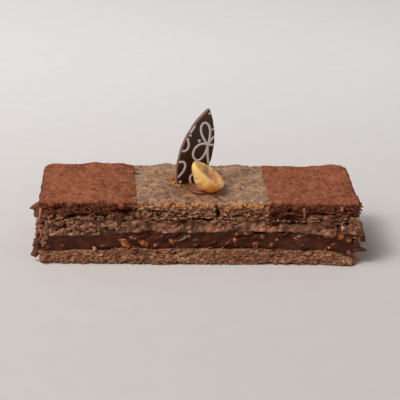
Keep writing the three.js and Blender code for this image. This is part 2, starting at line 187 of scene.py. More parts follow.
def noise(x, y, seed, wrap=0):
    """Smooth noise from -1 to 1: lattice draws eased between whole numbers. It repeats after wrap steps
    of x, or never where wrap is 0."""
    ix, iy = np.floor(x), np.floor(y)
    fx, fy = ease(0, 1, x - ix), ease(0, 1, y - iy)
    left, right = (ix % wrap, (ix + 1) % wrap) if wrap else (ix, ix + 1)
    low = draw(left, iy, seed) * (1 - fx) + draw(right, iy, seed) * fx
    high = draw(left, iy + 1, seed) * (1 - fx) + draw(right, iy + 1, seed) * fx
    return 2 * (low * (1 - fy) + high * fy) - 1


def cells(x, y, seed, wrap=0):
    """Points strewn one to a lattice square: the distance to the nearest, to the second, and the
    nearest's draw. They repeat as noise does."""
    ix, iy = np.floor(x), np.floor(y)
    near = np.full(np.broadcast(x, y).shape, np.inf)
    second = near.copy()
    mark = near.copy()
    for dx in (-1, 0, 1):
        for dy in (-1, 0, 1):
            jx, jy = ix + dx, iy + dy
            key = jx % wrap if wrap else jx
            away = np.hypot(jx + draw(key, jy, seed) - x, jy + draw(key, jy, seed + 0.37) - y)
            second = np.minimum(second, np.maximum(near, away))
            mark = np.where(away < near, draw(key, jy, seed + 0.71), mark)
            near = np.minimum(near, away)
    return near, second, mark


# Meshes

def grid_faces(rows, columns, around):
    """Quads between the points of a grid, row by row. around joins the last column to the first."""
    row, column = np.mgrid[0 : rows - 1, 0 : columns if around else columns - 1]
    here = row * columns + column
    right = row * columns + (column + 1) % columns
    return np.stack([here, right, right + columns, here + columns], -1).reshape(-1, 4)


def tube(grid):
    """A grid of points closed around, its first and last rows fanned to their middles."""
    rows, columns, _ = grid.shape
    here = np.arange(columns)
    after = (here + 1) % columns
    low = np.full(columns, rows * columns)
    top = (rows - 1) * columns
    floor = np.stack([low, after, here], -1)
    lid = np.stack([low + 1, top + here, top + after], -1)
    ends = np.stack([grid[0].mean(0), grid[-1].mean(0)])
    points = np.concatenate([grid.reshape(-1, 3), ends])
    return points, [grid_faces(rows, columns, True), floor, lid]


def joined(shapes):
    """Several shapes as one: their points in a row, and their faces counted on."""
    starts = np.cumsum([0] + [len(points) for points, _ in shapes])
    faces = [f + start for (_, part), start in zip(shapes, starts) for f in part]
    return np.concatenate([points for points, _ in shapes]), faces


def sheet(grid, normals):
    """A thin shell: an open grid of points that faces up, its underside below it along the normals, and a
    strip round its border."""
    rows, columns, _ = grid.shape
    count = rows * columns
    index = np.arange(count).reshape(rows, columns)
    border = np.concatenate([index[0, :-1], index[:-1, -1], index[-1, :0:-1], index[:0:-1, 0]])
    following = np.roll(border, -1)
    strip = np.stack([following, border, border + count, following + count], -1)
    over = grid_faces(rows, columns, False)
    under = grid - SKIN_THICKNESS * normals
    points = np.concatenate([grid.reshape(-1, 3), under.reshape(-1, 3)])
    return points, [over, over[:, ::-1] + count, strip]


def piece(name, shape, finish, slot, stands_for=(), smooth=True, **values):
    """An object at the origin from points in millimetres and arrays of faces, kept inside the solids'
    box, with one number a point for each of values. Points past the end of a value get its mean."""
    points, faces = shape
    points = np.clip(points, np.array(cad_low) / MM, np.array(cad_high) / MM)
    mesh = bpy.data.meshes.new(name)
    corners = np.concatenate([f.ravel() for f in faces])
    sizes = np.concatenate([np.full(len(f), f.shape[1]) for f in faces])
    mesh.vertices.add(len(points))
    mesh.vertices.foreach_set("co", (points * MM).astype(np.float32).ravel())
    mesh.loops.add(len(corners))
    mesh.loops.foreach_set("vertex_index", corners.astype(np.int32))
    mesh.polygons.add(len(sizes))
    mesh.polygons.foreach_set("loop_start", (np.cumsum(sizes) - sizes).astype(np.int32))
    mesh.polygons.foreach_set("use_smooth", np.full(len(sizes), smooth))
    mesh.update(calc_edges=True)
    for key, value in values.items():
        full = np.full(len(points), np.mean(value))
        full[: np.size(value)] = np.ravel(value)
        mesh.attributes.new(key, "FLOAT", "POINT").data.foreach_set("value", full.astype(np.float32))
    mesh.materials.append(finish.material)
    made = bpy.data.objects.new(name, mesh)
    bpy.context.scene.collection.objects.link(made)
    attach(made, "root")
    if stands_for:
        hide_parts(*stands_for)


def facing(grid):
    """Unit normals of a grid that is closed around: the cross product of its two differences."""
    along = np.roll(grid, -1, 1) - np.roll(grid, 1, 1)
    up = np.gradient(grid, axis=0)
    normal = np.cross(along, up)
    return normal / np.maximum(np.linalg.norm(normal, axis=-1, keepdims=True), TINY)


# Surfaces of the layers

def meeting(x, y, height, seed):
    """The wavy surface where two layers meet: a height with broad and small noise over the plan."""
    return height + 0.5 * noise(x / 7, y / 7, seed) + 0.22 * noise(x / 2.3, y / 2.3, seed + 1)


def ground(x, y):
    """The flat underside of the slice, at height 0."""
    return 0 * x


def base_top(x, y):
    """Top of the base sheet, which slumps at the front right corner and a little at the front left."""
    right = 1.5 * ease(48.0, 57.0, x) * ease(4.0, -12.0, y)
    left = 1.0 * ease(-32.0, -38.0, x) * ease(-8.0, -16.0, y)
    return meeting(x, y, BASE_TOP, 2.0) - right - left


def cream_top(x, y):
    """Top of the dark cream: lower at the left, highest right of the middle. Towards the right the
    praline hangs over it in round drips, with cusps between."""
    drips = np.abs(noise(x / 2.0, y / 2.0, 8.0)) * ease(-20.0, 15.0, x)
    dip = ease(-9.0, -17.0, x) * ease(-40.0, -30.0, x)
    fall = CREAM_FALL * ease(-26.0, -38.0, x) + 0.4 * dip + 0.7 * ease(40.0, 48.0, x)
    crest = 0.6 * bell((x - 34.0) / 7.0)
    return meeting(x, y, CREAM_TOP, 4.0) - fall + crest - 0.9 * drips


def praline_top(x, y):
    """Top of the praline cream."""
    return meeting(x, y, PRALINE_TOP, 6.0)


def crust_height(x, y):
    """Height of the top crust: two crossed swells and a wavy back edge, without its rim."""
    broad = np.sin(x / 5.1 + np.sin(y / 6.3)) * np.cos(y / 4.7 + 0.4)
    slow = np.sin(x / 11.3 + 1.7) * np.sin(y / 8.9 + 0.6)
    swells = sum(height * bell((x - at) / 4.0) for at, height in BACK_SWELLS)
    return CRUST_TOP + SWELL * (0.6 * broad + 0.4 * slow) + swells * ease(4.0, 17.0, y)


def under_crust(x, y):
    """Top of the upper sheet, below the skin of its crust."""
    return crust_height(x, y) - SKIN_THICKNESS


def bare_share(x):
    """1 on the bare middle of the top and 0 on its dusted ends, with a soft step of 1 mm between."""
    return ease(BARE_FROM - 0.5, BARE_FROM + 0.5, x) * ease(BARE_TO + 0.5, BARE_TO - 0.5, x)


def jutting(x):
    """How far the front stands out, in mm: it swells from the cocoa's edge and stops at the crack."""
    return JUT * ease(BARE_FROM, 2.0, x) * ease(CRACK + 0.1, CRACK - 0.7, x)


class Wall:
    """The side of a layer as a grid. Columns follow the rounded outline at even steps, from the front
    left round by the right, and rows rise at even shares from the layer's lower surface to its upper
    one. For each column, s is how far round it is, out is the way it faces, turning is above 0 in the
    corners and front is 1 on the front face. The grid is plain until the layer's own function shapes
    it."""

    def __init__(self, half_length, half_width, low, high, columns, rows):
        a, b = half_length - CORNER, half_width - CORNER
        bend = CORNER * np.pi / 2
        stops = np.cumsum([0, 2 * a, bend, 2 * b, bend, 2 * a, bend, 2 * b, bend])
        turns = np.radians([0, 0, 90, 90, 180, 180, 270, 270, 360])
        self.girth = stops[-1]
        self.s = np.arange(columns) * self.girth / columns
        turn = np.interp(self.s, stops, turns)
        self.out = np.stack([np.sin(turn), -np.cos(turn), 0 * turn], -1)
        self.x = np.interp(self.s, stops, [-a, a, a, a, a, -a, -a, -a, -a]) + CORNER * self.out[:, 0]
        self.y = np.interp(self.s, stops, [-b, -b, -b, b, b, b, b, -b, -b]) + CORNER * self.out[:, 1]
        self.turning = np.abs(self.out[:, 0] * self.out[:, 1])
        self.front = ease(0.5, 0.95, -self.out[:, 1])
        self.share = np.linspace(0, 1, rows)[:, None]
        self.z = low(self.x, self.y) * (1 - self.share) + high(self.x, self.y) * self.share
        self.grid = self.points(0 * self.z)

    def paces(self, length):
        """How far round each column is, in paces of about length mm, and how many go all the way."""
        count = round(self.girth / length)
        return self.s * count / self.girth, count

    def noise(self, length, height, seed, at=None):
        """Smooth noise in lumps about length mm along the wall and height mm up it, or up the heights
        in at."""
        along, count = self.paces(length)
        heights = self.z if at is None else at
        return noise(along, heights / height, seed, count)

    def ply_noise(self, length, ply, seed):
        """Smooth noise along the wall, drawn anew for each ply of pastry."""
        along, count = self.paces(length)
        return noise(along, ply * 3.0, seed, count)

    def cells(self, length, height, seed, bend=0.0):
        """Cells about length mm along the wall, moved along it by bend, at a height counted in cells."""
        along, count = self.paces(length)
        return cells(along + bend, height, seed, count)

    def spot(self, x, z, half_length, half_height, seed):
        """1 inside a ragged oval on the front face, falling to 0 at its edge."""
        ragged = z + half_height * 0.9 * self.noise(2.7, 9, seed)
        away = oval(self.x, self.z, x, ragged, half_length, half_height)
        return ease(1.15, 0.55, away + 0.35 * self.noise(1.1, 0.8, seed + 1)) * self.front

    def ridge(self, x, z, half_length, half_height, slope):
        """A smooth bump on the front face, 1 at its middle: the bell curve of the distance from it. It is
        drawn out along a line that rises to the right by slope degrees."""
        turn = np.radians(slope)
        along = (self.x - x) * np.cos(turn) + (self.z - z) * np.sin(turn)
        athwart = (self.z - z) * np.cos(turn) - (self.x - x) * np.sin(turn)
        return bell(along / half_length) * bell(athwart / half_height) * self.front

    def points(self, push, lift=0.0):
        """The plain grid moved out by push and up by lift, at the corners not in past their radius."""
        push = np.where(self.turning > TINY, np.maximum(push, -0.85 * CORNER), push)
        plan = np.stack([self.x, self.y, 0 * self.x], -1)
        grid = plan + self.out * push[..., None]
        grid[..., 2] = self.z + lift
        return grid


# Materials

class Value:
    """A shader socket that takes part in arithmetic: each operator adds a Math node."""

    def __init__(self, finish, socket):
        self.finish = finish
        self.socket = socket

    def math(self, operation, first, second):
        """The value of a Math node."""
        return self.finish.node("ShaderNodeMath", {"operation": operation}, {0: first, 1: second})

    def __add__(self, other):
        return self.math("ADD", self, other)

    def __radd__(self, other):
        return self.math("ADD", other, self)

    def __sub__(self, other):
        return self.math("SUBTRACT", self, other)

    def __rsub__(self, other):
        return self.math("SUBTRACT", other, self)

    def __mul__(self, other):
        return self.math("MULTIPLY", self, other)

    def __rmul__(self, other):
        return self.math("MULTIPLY", other, self)


def colour(red, green, blue):
    """A colour from 8-bit sRGB values, in the linear values that shaders take."""
    share = np.array([red, green, blue]) / 255
    linear = np.where(share < 0.04045, share / 12.92, ((share + 0.055) / 1.055) ** 2.4)
    return (*linear, 1.0)


class Finish:
    """A material: its principled shader, and the nodes that feed it."""

    def __init__(self, name, **constants):
        self.material = bpy.data.materials.new(name)
        self.material.use_nodes = True
        self.tree = self.material.node_tree
        self.shader = self.tree.nodes["Principled BSDF"]
        self.wear(**constants)
        self.place = self.node("ShaderNodeTexCoord", {}, {}, "Object")

    def feed(self, socket, value):
        """Links a shader value to a socket, or sets the socket to a plain one."""
        if isinstance(value, Value):
            self.tree.links.new(value.socket, socket)
        else:
            socket.default_value = value

    def node(self, kind, settings, sockets, output=0):
        """A node of a kind with its settings made first, then the values or links of its sockets."""
        made = self.tree.nodes.new(kind)
        for key, value in settings.items():
            setattr(made, key, value)
        for key, value in sockets.items():
            self.feed(made.inputs[key], value)
        return Value(self, made.outputs[output])

    def given(self, name):
        """A number stored with the mesh's points."""
        return self.node("ShaderNodeAttribute", {"attribute_name": name}, {}, "Fac")

    def grain(self, size, detail, stretch=(1.0, 1.0, 1.0)):
        """Noise from 0 to 1 with lumps of about size mm, drawn out along the axes by stretch."""
        scale = tuple(1.0 / s for s in stretch)
        place = self.node("ShaderNodeVectorMath", {"operation": "MULTIPLY"}, {0: self.place, 1: scale})
        sockets = {"Vector": place, "Scale": 1.0 / (size * MM), "Detail": detail}
        return self.node("ShaderNodeTexNoise", {}, sockets)

    def between(self, low, high, value):
        """0 at low and 1 at high with a smooth S between."""
        sockets = {"Value": value, "From Min": low, "From Max": high}
        return self.node("ShaderNodeMapRange", {"interpolation_type": "SMOOTHSTEP"}, sockets)

    def mix(self, share, first, second):
        """One colour turning into another. Sockets 6 and 7, and output 2, are the Mix node's colours."""
        sockets = {0: share, 6: first, 7: second}
        return self.node("ShaderNodeMix", {"data_type": "RGBA"}, sockets, 2)

    def bump(self, height, depth):
        """A normal bent by a height from 0 to 1 that is depth mm deep."""
        sockets = {"Height": height, "Distance": depth * MM, "Strength": 1.0}
        return self.node("ShaderNodeBump", {}, sockets)

    def wear(self, **sockets):
        """Feeds the principled shader's inputs, named with _ for a space."""
        for key, value in sockets.items():
            self.feed(self.shader.inputs[key.replace("_", " ")], value)
        return self


def pastry_finish():
    """Baked cocoa pastry: dark where shade is painted into its hollows, tan on its torn edges, cocoa
    where dust has settled.
    """
    made = Finish("pastry", Specular_IOR_Level=0.2)
    fine = made.grain(0.3, 3.0)
    mottle = made.grain(1.1, 3.0)
    tone = made.given("tone") + (fine - 0.5) * 0.7 + (mottle - 0.5) * 0.9
    # Low tones carry shade painted into hollows, gaps, seams and cracks
    low = made.mix(made.between(0.0, 0.45, tone), colour(46, 21, 10), colour(138, 90, 63))
    high = made.mix(made.between(0.45, 0.95, tone), low, colour(214, 157, 117))
    dusted = made.mix(made.given("dust"), high, colour(126, 68, 44))
    return made.wear(Base_Color=dusted, Roughness=0.4 + fine * 0.4, Normal=made.bump(fine, 0.12))


def crust_finish():
    """Pressed, caramelised crust with a soft sheen: mauve-brown patches that are partly painted sheen,
    golden patches, a warm torn rim.
    """
    made = Finish("crust", Specular_IOR_Level=0.4)
    patch = made.grain(2.6, 4.0, (1.0, 1.3, 1.0))
    mottle = made.grain(1.0, 4.0, (1.0, 1.3, 1.0))
    fine = made.grain(0.35, 3.0)
    tone = made.given("tone") + (mottle - 0.5) * 0.8 + (fine - 0.5) * 0.4
    # Mauve-grey patches, partly a painted sheen; low tones carry shade painted into pits
    mauve_sheen = made.mix(made.between(0.0, 1.0, tone), colour(106, 73, 57), colour(187, 148, 125))
    warm = made.mix(made.between(0.0, 1.0, tone), colour(114, 74, 46), colour(211, 161, 111))
    face = made.mix(made.between(0.38, 0.66, patch), mauve_sheen, warm)
    torn = made.between(0.15, 0.9, made.given("tone") + (fine - 0.5) * 0.8)
    rimmed = made.mix(made.given("rim"), face, made.mix(torn, colour(86, 42, 16), colour(218, 147, 86)))
    brown = made.mix(made.between(0.3, 0.7, mottle), colour(76, 40, 21), colour(140, 90, 58))
    smeared = made.mix(made.given("smear"), rimmed, brown)
    rough = 0.36 + made.given("rim") * 0.34 + mottle * 0.16
    return made.wear(Base_Color=smeared, Roughness=rough, Normal=made.bump(fine + mottle, 0.1))


def cocoa_finish():
    """Cocoa powder: matte, grained, darker over the rim, and painted darker where it tucks under, as
    shade.
    """
    made = Finish("cocoa", Specular_IOR_Level=0.12, Roughness=1.0)
    fine = made.grain(0.3, 3.0)
    cloud = made.grain(3.0, 3.0)
    tone = made.given("tone") + (fine - 0.5) * 0.5 + (cloud - 0.5) * 0.35
    shade = made.mix(made.between(0.1, 0.9, tone), colour(100, 53, 35), colour(178, 107, 76))
    return made.wear(Base_Color=shade, Normal=made.bump(fine, 0.14))


def cream_finish():
    """Dark chocolate cream: glossy and smooth, in two browns, with a painted sheen that lightens what
    faces up, and praline rubbed over it in places."""
    made = Finish("dark_cream", Specular_IOR_Level=0.38, Specular_Tint=(1.0, 0.64, 0.5, 1.0))
    cloud = made.grain(2.4, 2.0)
    fine = made.grain(0.7, 2.0)
    shade = made.mix(made.between(0.3, 0.7, cloud), colour(55, 18, 6), colour(88, 39, 19))
    # A painted sheen: a lighter, greyer brown on what faces up
    filmed = made.mix(made.given("film"), shade, colour(106, 61, 45))
    rubbed = made.mix(made.given("smear"), filmed, colour(132, 86, 64))
    return made.wear(Base_Color=rubbed, Roughness=0.16 + cloud * 0.18, Normal=made.bump(fine, 0.04))


def praline_finish():
    """Praline cream: pinkish brown, satin, with lighter smears and shade painted into its hollows."""
    made = Finish("praline", Specular_IOR_Level=0.45, Specular_Tint=(1.0, 0.82, 0.72, 1.0))
    cloud = made.grain(1.3, 4.0)
    fine = made.grain(0.4, 3.0)
    tone = made.given("tone") + (cloud - 0.5) * 0.9
    shade = made.mix(made.between(0.0, 1.0, tone), colour(72, 37, 21), colour(188, 126, 94))
    return made.wear(Base_Color=shade, Roughness=0.18 + cloud * 0.2, Normal=made.bump(fine, 0.08))


def nut_bit_finish():
    """Chopped hazelnut in cream: amber or pale where it is bare, chocolate where the cream clings."""
    made = Finish("nut_bits", Specular_IOR_Level=0.5, Roughness=0.22)
    cloud = made.grain(1.7, 2.0)
    deep = made.between(0.3, 0.62, made.grain(1.3, 1.0))
    amber = made.mix(deep, colour(88, 36, 13), colour(204, 116, 44))
    bare = made.mix(made.given("tone"), amber, colour(196, 156, 130))
    clear = made.between(0.3, 0.55, cloud - made.given("dust"))
    shade = made.mix(clear, colour(74, 34, 18), bare)
    return made.wear(Base_Color=shade, Normal=made.bump(cloud, 0.2))


def crumb_finish(name, dark, light):
    """Loose crumbs, or pastry soaked with chocolate: two browns, mixed from bit to bit and over each."""
    made = Finish(name, Specular_IOR_Level=0.3, Roughness=0.6)
    fine = made.grain(0.5, 3.0)
    share = made.between(0.1, 1.1, made.given("tone") + fine * 0.4)
    return made.wear(Base_Color=made.mix(share, dark, light), Normal=made.bump(fine, 0.1))


def leaf_finish():
    """Tempered chocolate: dark and glossy, with a painted reflection that lightens it towards its tip,
    lighter and rough along its cut edge."""
    made = Finish("leaf_chocolate", Specular_IOR_Level=0.3)
    fine = made.grain(0.6, 3.0)
    plain = made.mix(fine, colour(48, 21, 10), colour(66, 34, 20))
    # Painted reflection: lighter and greyer towards the tip
    face = made.mix(made.given("bloom"), plain, colour(96, 66, 52))
    edge = made.mix(fine, colour(98, 62, 48), colour(150, 108, 90))
    rough = 0.3 + made.given("edge") * 0.3
    return made.wear(Base_Color=made.mix(made.given("edge"), face, edge), Roughness=rough,
                     Normal=made.bump(fine, 0.03))


def print_finish():
    """White cocoa-butter print, slightly thin in places."""
    made = Finish("print", Specular_IOR_Level=0.4, Roughness=0.45)
    fine = made.grain(0.7, 3.0)
    return made.wear(Base_Color=made.mix(fine, colour(190, 178, 170), colour(236, 230, 224)))


def hazelnut_finish():
    """Roasted hazelnut: golden side, amber below, a pale rim, and a cut face that turns from tan to a
    pinkish brown in its hollow. Light goes about 2 mm into it."""
    soft = {"Subsurface_Weight": 0.35, "Subsurface_Radius": (1.0, 0.85, 0.6), "Subsurface_Scale": 2 * MM}
    made = Finish("hazelnut", Specular_IOR_Level=0.35, **soft)
    cloud = made.grain(2.2, 3.0)
    fine = made.grain(0.5, 3.0)
    side = made.mix(made.between(0.3, 0.7, cloud), colour(255, 213, 138), colour(255, 202, 114))
    low = made.mix(made.given("amber"), side, colour(244, 152, 34))
    rimmed = made.mix(made.given("rim"), low, colour(255, 200, 128))
    tan = made.mix(made.between(0.2, 0.8, fine), colour(226, 156, 90), colour(255, 204, 136))
    brown = made.mix(made.between(0.2, 0.8, fine), colour(206, 130, 84), colour(242, 174, 126))
    slope = made.mix(made.between(0.0, 0.5, made.given("cut")), rimmed, tan)
    face = made.mix(made.between(0.5, 1.0, made.given("cut")), slope, brown)
    return made.wear(Base_Color=face, Roughness=0.3 + fine * 0.2, Normal=made.bump(fine, 0.05))


def dab_finish():
    """Soft chocolate: brown and glossy."""
    made = Finish("soft_chocolate", Specular_IOR_Level=0.4)
    cloud = made.grain(1.8, 3.0)
    shade = made.mix(cloud, colour(104, 60, 42), colour(152, 100, 77))
    return made.wear(Base_Color=shade, Roughness=0.3 + cloud * 0.12)


# Pastry sheets

def torn_flakes(wall, seed):
    """Torn puff pastry, as a mosaic of chips. Height is counted in plies, bent by noise, and each chip
    is a cell that stands out or back by its own draw. Some chips are holes with thin walls left round
    them, and a finer mosaic covers all. Returns how far each point stands out, in mm, and how light it
    is, from 0 to 1."""
    bent = wall.z / TORN_PLY + 1.1 * wall.noise(8, 4, seed) + 0.5 * wall.noise(2.4, 1.7, seed + 1)
    shift = 0.55 * wall.noise(1.5, 1.1, seed + 2)
    near, second, mark = wall.cells(CHIP_LENGTH, bent + shift, seed + 3, shift)
    gap = second - near
    seam = ease(0.2, 0.02, gap)
    hollow = mark < 0.3 + 0.26 * wall.noise(6, 3, seed + 4)
    hole = hollow * ease(0.05, 0.34, gap)
    _, _, fine_mark = wall.cells(0.5, wall.z / 0.42 + shift, seed + 5, shift)
    ply = np.floor(2.0 * bent)
    part = 2.0 * bent - ply
    lines = ease(0.62, 0.95, part) * ease(-0.1, 0.5, wall.ply_noise(3.2, ply, seed + 6))
    chip = np.where(hollow, 0.25, mark - 0.5)
    relief = 0.8 * chip + 0.4 * (fine_mark - 0.5) - 0.3 * seam * ~hollow - 1.15 * hole - 0.4 * lines
    push = CHIP_DEPTH * relief + 0.1 * wall.noise(0.5, 0.4, seed + 7)
    # Holes and the lines between plies are painted darker, as shade in them
    tone = 0.5 + 0.36 * (mark - 0.5) + 0.34 * (fine_mark - 0.5) - 0.62 * hole - 0.25 * lines
    tone += 0.3 * seam * hollow + 0.1 * wall.noise(12, 6, seed + 8)
    return push, tone


def close_crumb(wall, seed):
    """Close, even puff pastry: mottles of three sizes, and thin broken seams between plies. Returns how
    far each point stands out, in mm, and how light it is, from 0 to 1."""
    bent = wall.z + 0.5 * wall.noise(11, 5, seed) + 0.3 * wall.noise(2.2, 2, seed + 1)
    broad = wall.noise(2.0, 1.2, seed + 2, bent)
    middle = wall.noise(0.85, 0.6, seed + 3, bent)
    fine = wall.noise(0.45, 0.36, seed + 4, bent)
    ply = np.floor(bent / CLOSE_PLY)
    part = bent / CLOSE_PLY - ply
    broken = ease(0.0, 0.5, wall.ply_noise(2.4, ply, seed + 5))
    seam = ease(0.55, 0.75, part) * ease(1.0, 0.88, part) * broken
    shift = 0.5 * wall.noise(1.6, 1.1, seed + 6)
    near, second, mark = wall.cells(2.1, bent / 1.15 + shift, seed + 7, shift)
    body = ease(0.05, 0.3, second - near)
    hole = (mark < 0.13) * body
    chip = (mark > 0.8) * body
    push = 0.2 * broad + 0.26 * middle + 0.2 * fine - 0.45 * seam - 0.5 * hole + 0.15 * chip
    # Seams and holes are painted darker, as shade in them
    tone = 0.5 + 0.09 * broad + 0.12 * middle + 0.12 * fine - 0.26 * seam - 0.22 * hole + 0.1 * chip
    return push, tone


def base_sheet(finish):
    """The lower sheet: close, even flakes, a ragged foot round a flat underside, and a corner broken away
    at the front right. The left corners bulge a little."""
    wall = Wall(HALF_LENGTH, HALF_WIDTH, ground, base_top, columns=1500, rows=52)
    push, tone = close_crumb(wall, 20)
    push += 0.35 * wall.noise(14, 8, 31)
    broken = ease(50.0, 58.0, wall.x) * ease(4.0, -12.0, wall.y)
    push -= broken * (3.0 * ease(FOOT, 4.0, wall.z) - 0.3 + 0.6 * wall.noise(2.5, 1.6, 33))
    push += 2.4 * wall.turning * (wall.x < 0)
    low = ease(FOOT, 0.0, wall.z)
    ragged = 0.35 + 0.5 * wall.noise(3.4, 50, 34) + 0.35 * wall.noise(1.3, 50, 36)
    push += 0.4 * low * wall.noise(1.3, 50, 35)
    tone += 0.03 - 0.12 * low
    wall.grid = wall.points(push, low * np.clip(ragged, 0, 1.1))
    underside = wall.points(0 * push - FOOT_INSET)[:1]
    closed = tube(np.concatenate([underside, wall.grid]))
    tones = np.concatenate([tone[:1], tone])
    piece("base_sheet", closed, finish, "pastry", ["base_pastry"], tone=tones, dust=0 * tones)
    return wall


# Gaps in the front of the upper sheet: x, z, half length, half height and depth
TOP_GAPS = [
    (-46.2, 20.2, 5.0, 0.9, 4.2), (-36.8, 20.4, 2.6, 0.7, 3.6), (-28.8, 22.2, 4.2, 1.4, 4.2),
    (-53.2, 23.2, 1.8, 0.7, 3.2), (-17.2, 22.5, 3.4, 0.3, 1.8), (-9.0, 21.5, 2.8, 0.3, 1.8),
    (-9.3, 18.9, 4.0, 0.35, 2.4), (1.6, 19.1, 3.2, 0.6, 2.6), (14.0, 20.4, 2.6, 0.45, 2.2),
    (28.3, 21.2, 2.0, 1.0, 3.0), (34.3, 22.2, 2.0, 0.9, 3.0), (36.0, 20.2, 4.0, 0.7, 2.8),
    (31.5, 19.0, 6.2, 1.2, 2.4), (45.5, 21.2, 5.6, 0.55, 2.6), (54.5, 22.6, 2.0, 0.6, 2.2),
]


def top_sheet(finish):
    """The upper sheet below its crust: coarser flakes with deep gaps, a torn crack, dust near its
    ends. Shade is painted into its gaps, crack, hollows and seams."""
    wall = Wall(HALF_LENGTH, HALF_WIDTH, praline_top, under_crust, columns=1200, rows=62)
    bare = bare_share(wall.x)
    push, tone = torn_flakes(wall, 40)
    push += 0.4 * wall.noise(15, 9, 51) + wall.front * bare * jutting(wall.x)
    # Each gap is pushed in and painted darker, as shade in it
    for number, (*place, depth) in enumerate(TOP_GAPS):
        gap = wall.spot(*place, 60 + number)
        push -= depth * gap
        tone -= 0.8 * gap
    # Recesses on the other faces, pushed in and painted darker as shade
    elsewhere = ease(0.25, 0.6, wall.noise(7, 1.3, 91)) * (1 - wall.front)
    push -= 2.2 * elsewhere
    tone -= 0.3 * elsewhere

    # Larger chips along the lower edge of the two ends, with shade painted into their seams
    lower = (1 - bare) * ease(DUST_LINE + 1.0, DUST_LINE + 0.2, wall.z)
    bent = wall.z / 0.95 + 0.4 * wall.noise(2, 1.5, 98)
    near, second, mark = wall.cells(1.7, bent, 99, 0.3 * wall.noise(1.2, 1, 100))
    seam = ease(0.2, 0.03, second - near)
    push = push * (1 - 0.45 * lower) + lower * (0.9 * (mark - 0.5) - 0.5 * seam)
    tone = 0.5 + (tone - 0.5) * (1 - 0.5 * lower) + lower * (0.4 * (mark - 0.5) - 0.3 * seam)
    tone += 0.04 * bare - 0.28 * (1 - bare) * ease(DUST_LINE - 0.2, DUST_LINE + 0.8, wall.z)

    # Hollows where it lies on the praline, with shade painted into them
    under = ease(0.09, 0.0, wall.share) * ease(-0.2, 0.3, wall.noise(6, 20, 97))
    push -= 1.6 * under
    tone -= 0.3 * under

    # The crack, which leans to the left as it rises, with shade painted into it
    crack_at = CRACK - 0.18 * (wall.z - 20.6) + 0.35 * wall.noise(40, 1.6, 93)
    above = ease(CRACK_FOOT, CRACK_FOOT + 1.0, wall.z)
    crack = ease(0.85, 0.25, np.abs(wall.x - crack_at)) * above * wall.front
    push -= 3.6 * crack
    tone -= 0.7 * crack

    # It draws in under the rolled edge of the crust
    wall.grid = wall.points(np.clip(push, -4.6, 1.2) - 0.7 * ease(24.0, 25.0, wall.z))
    upward = ease(-0.25, 0.6, facing(wall.grid)[..., 2] + 0.35 * wall.noise(1.2, 0.9, 95))
    dusted = wall.z + 0.8 * wall.noise(5, 3, 96) + 1.8 * ease(44.0, 38.0, wall.x) * (wall.x > 0)
    dust = (1 - bare) * ease(DUST_LINE, DUST_LINE + 1.6, dusted) * (0.55 + 0.45 * upward)
    piece("top_sheet", tube(wall.grid), finish, "pastry", ["top_pastry"], tone=tone, dust=dust)
    return wall


# Skins on the top

def drape(p, q):
    """A sheet laid over the slice's top. It is flat inside the outline, rolls over the rim on an arc and
    then hangs straight down. Returns its points, its normals, and how far each point lies past the start
    of the roll and past its end."""
    inner_x = np.clip(p, CORNER - HALF_LENGTH, HALF_LENGTH - CORNER)
    inner_y = np.clip(q, CORNER - HALF_WIDTH, HALF_WIDTH - CORNER)
    off = np.hypot(p - inner_x, q - inner_y)
    way_x = (p - inner_x) / np.maximum(off, TINY)
    way_y = (q - inner_y) / np.maximum(off, TINY)
    past = off - (CORNER - RIM)
    hang = past - RIM * np.pi / 2
    angle = np.clip(past / RIM, 0, np.pi / 2)
    reach = np.minimum(off, CORNER - RIM) + RIM * np.sin(angle)
    drop = RIM * (1 - np.cos(angle)) + np.maximum(hang, 0)
    x, y = inner_x + way_x * reach, inner_y + way_y * reach
    points = np.stack([x, y, crust_height(x, y) - drop], -1)
    normals = np.stack([way_x * np.sin(angle), way_y * np.sin(angle), np.cos(angle)], -1)
    return points, normals, past, hang


def skin_grid(x_from, x_to, step):
    """Steps over a part of the top along X and Y, with what hangs over the rim."""
    reach = HALF_WIDTH + HANG
    p = np.linspace(x_from, x_to, round((x_to - x_from) / step))
    q = np.linspace(-reach, reach, round(2 * (reach + CORNER) / step))
    return np.meshgrid(p, q)


def both_faces(values):
    """Numbers for a skin's upper points, repeated for the points under them."""
    return np.stack([values, values])


# Large pits in the crust: x, y and radius
CRUST_PITS = ((10.6, -0.9, 0.8), (16.0, -3.9, 0.9), (12.9, -3.8, 0.5))

# Chocolate smeared on the crust, and the thick part of it: middle x and y, half length and half width
SMEAR = (-4.6, -5.0, 7.5, 8.0)
MOUND = (-5.0, -1.5, 6.0, 4.0)


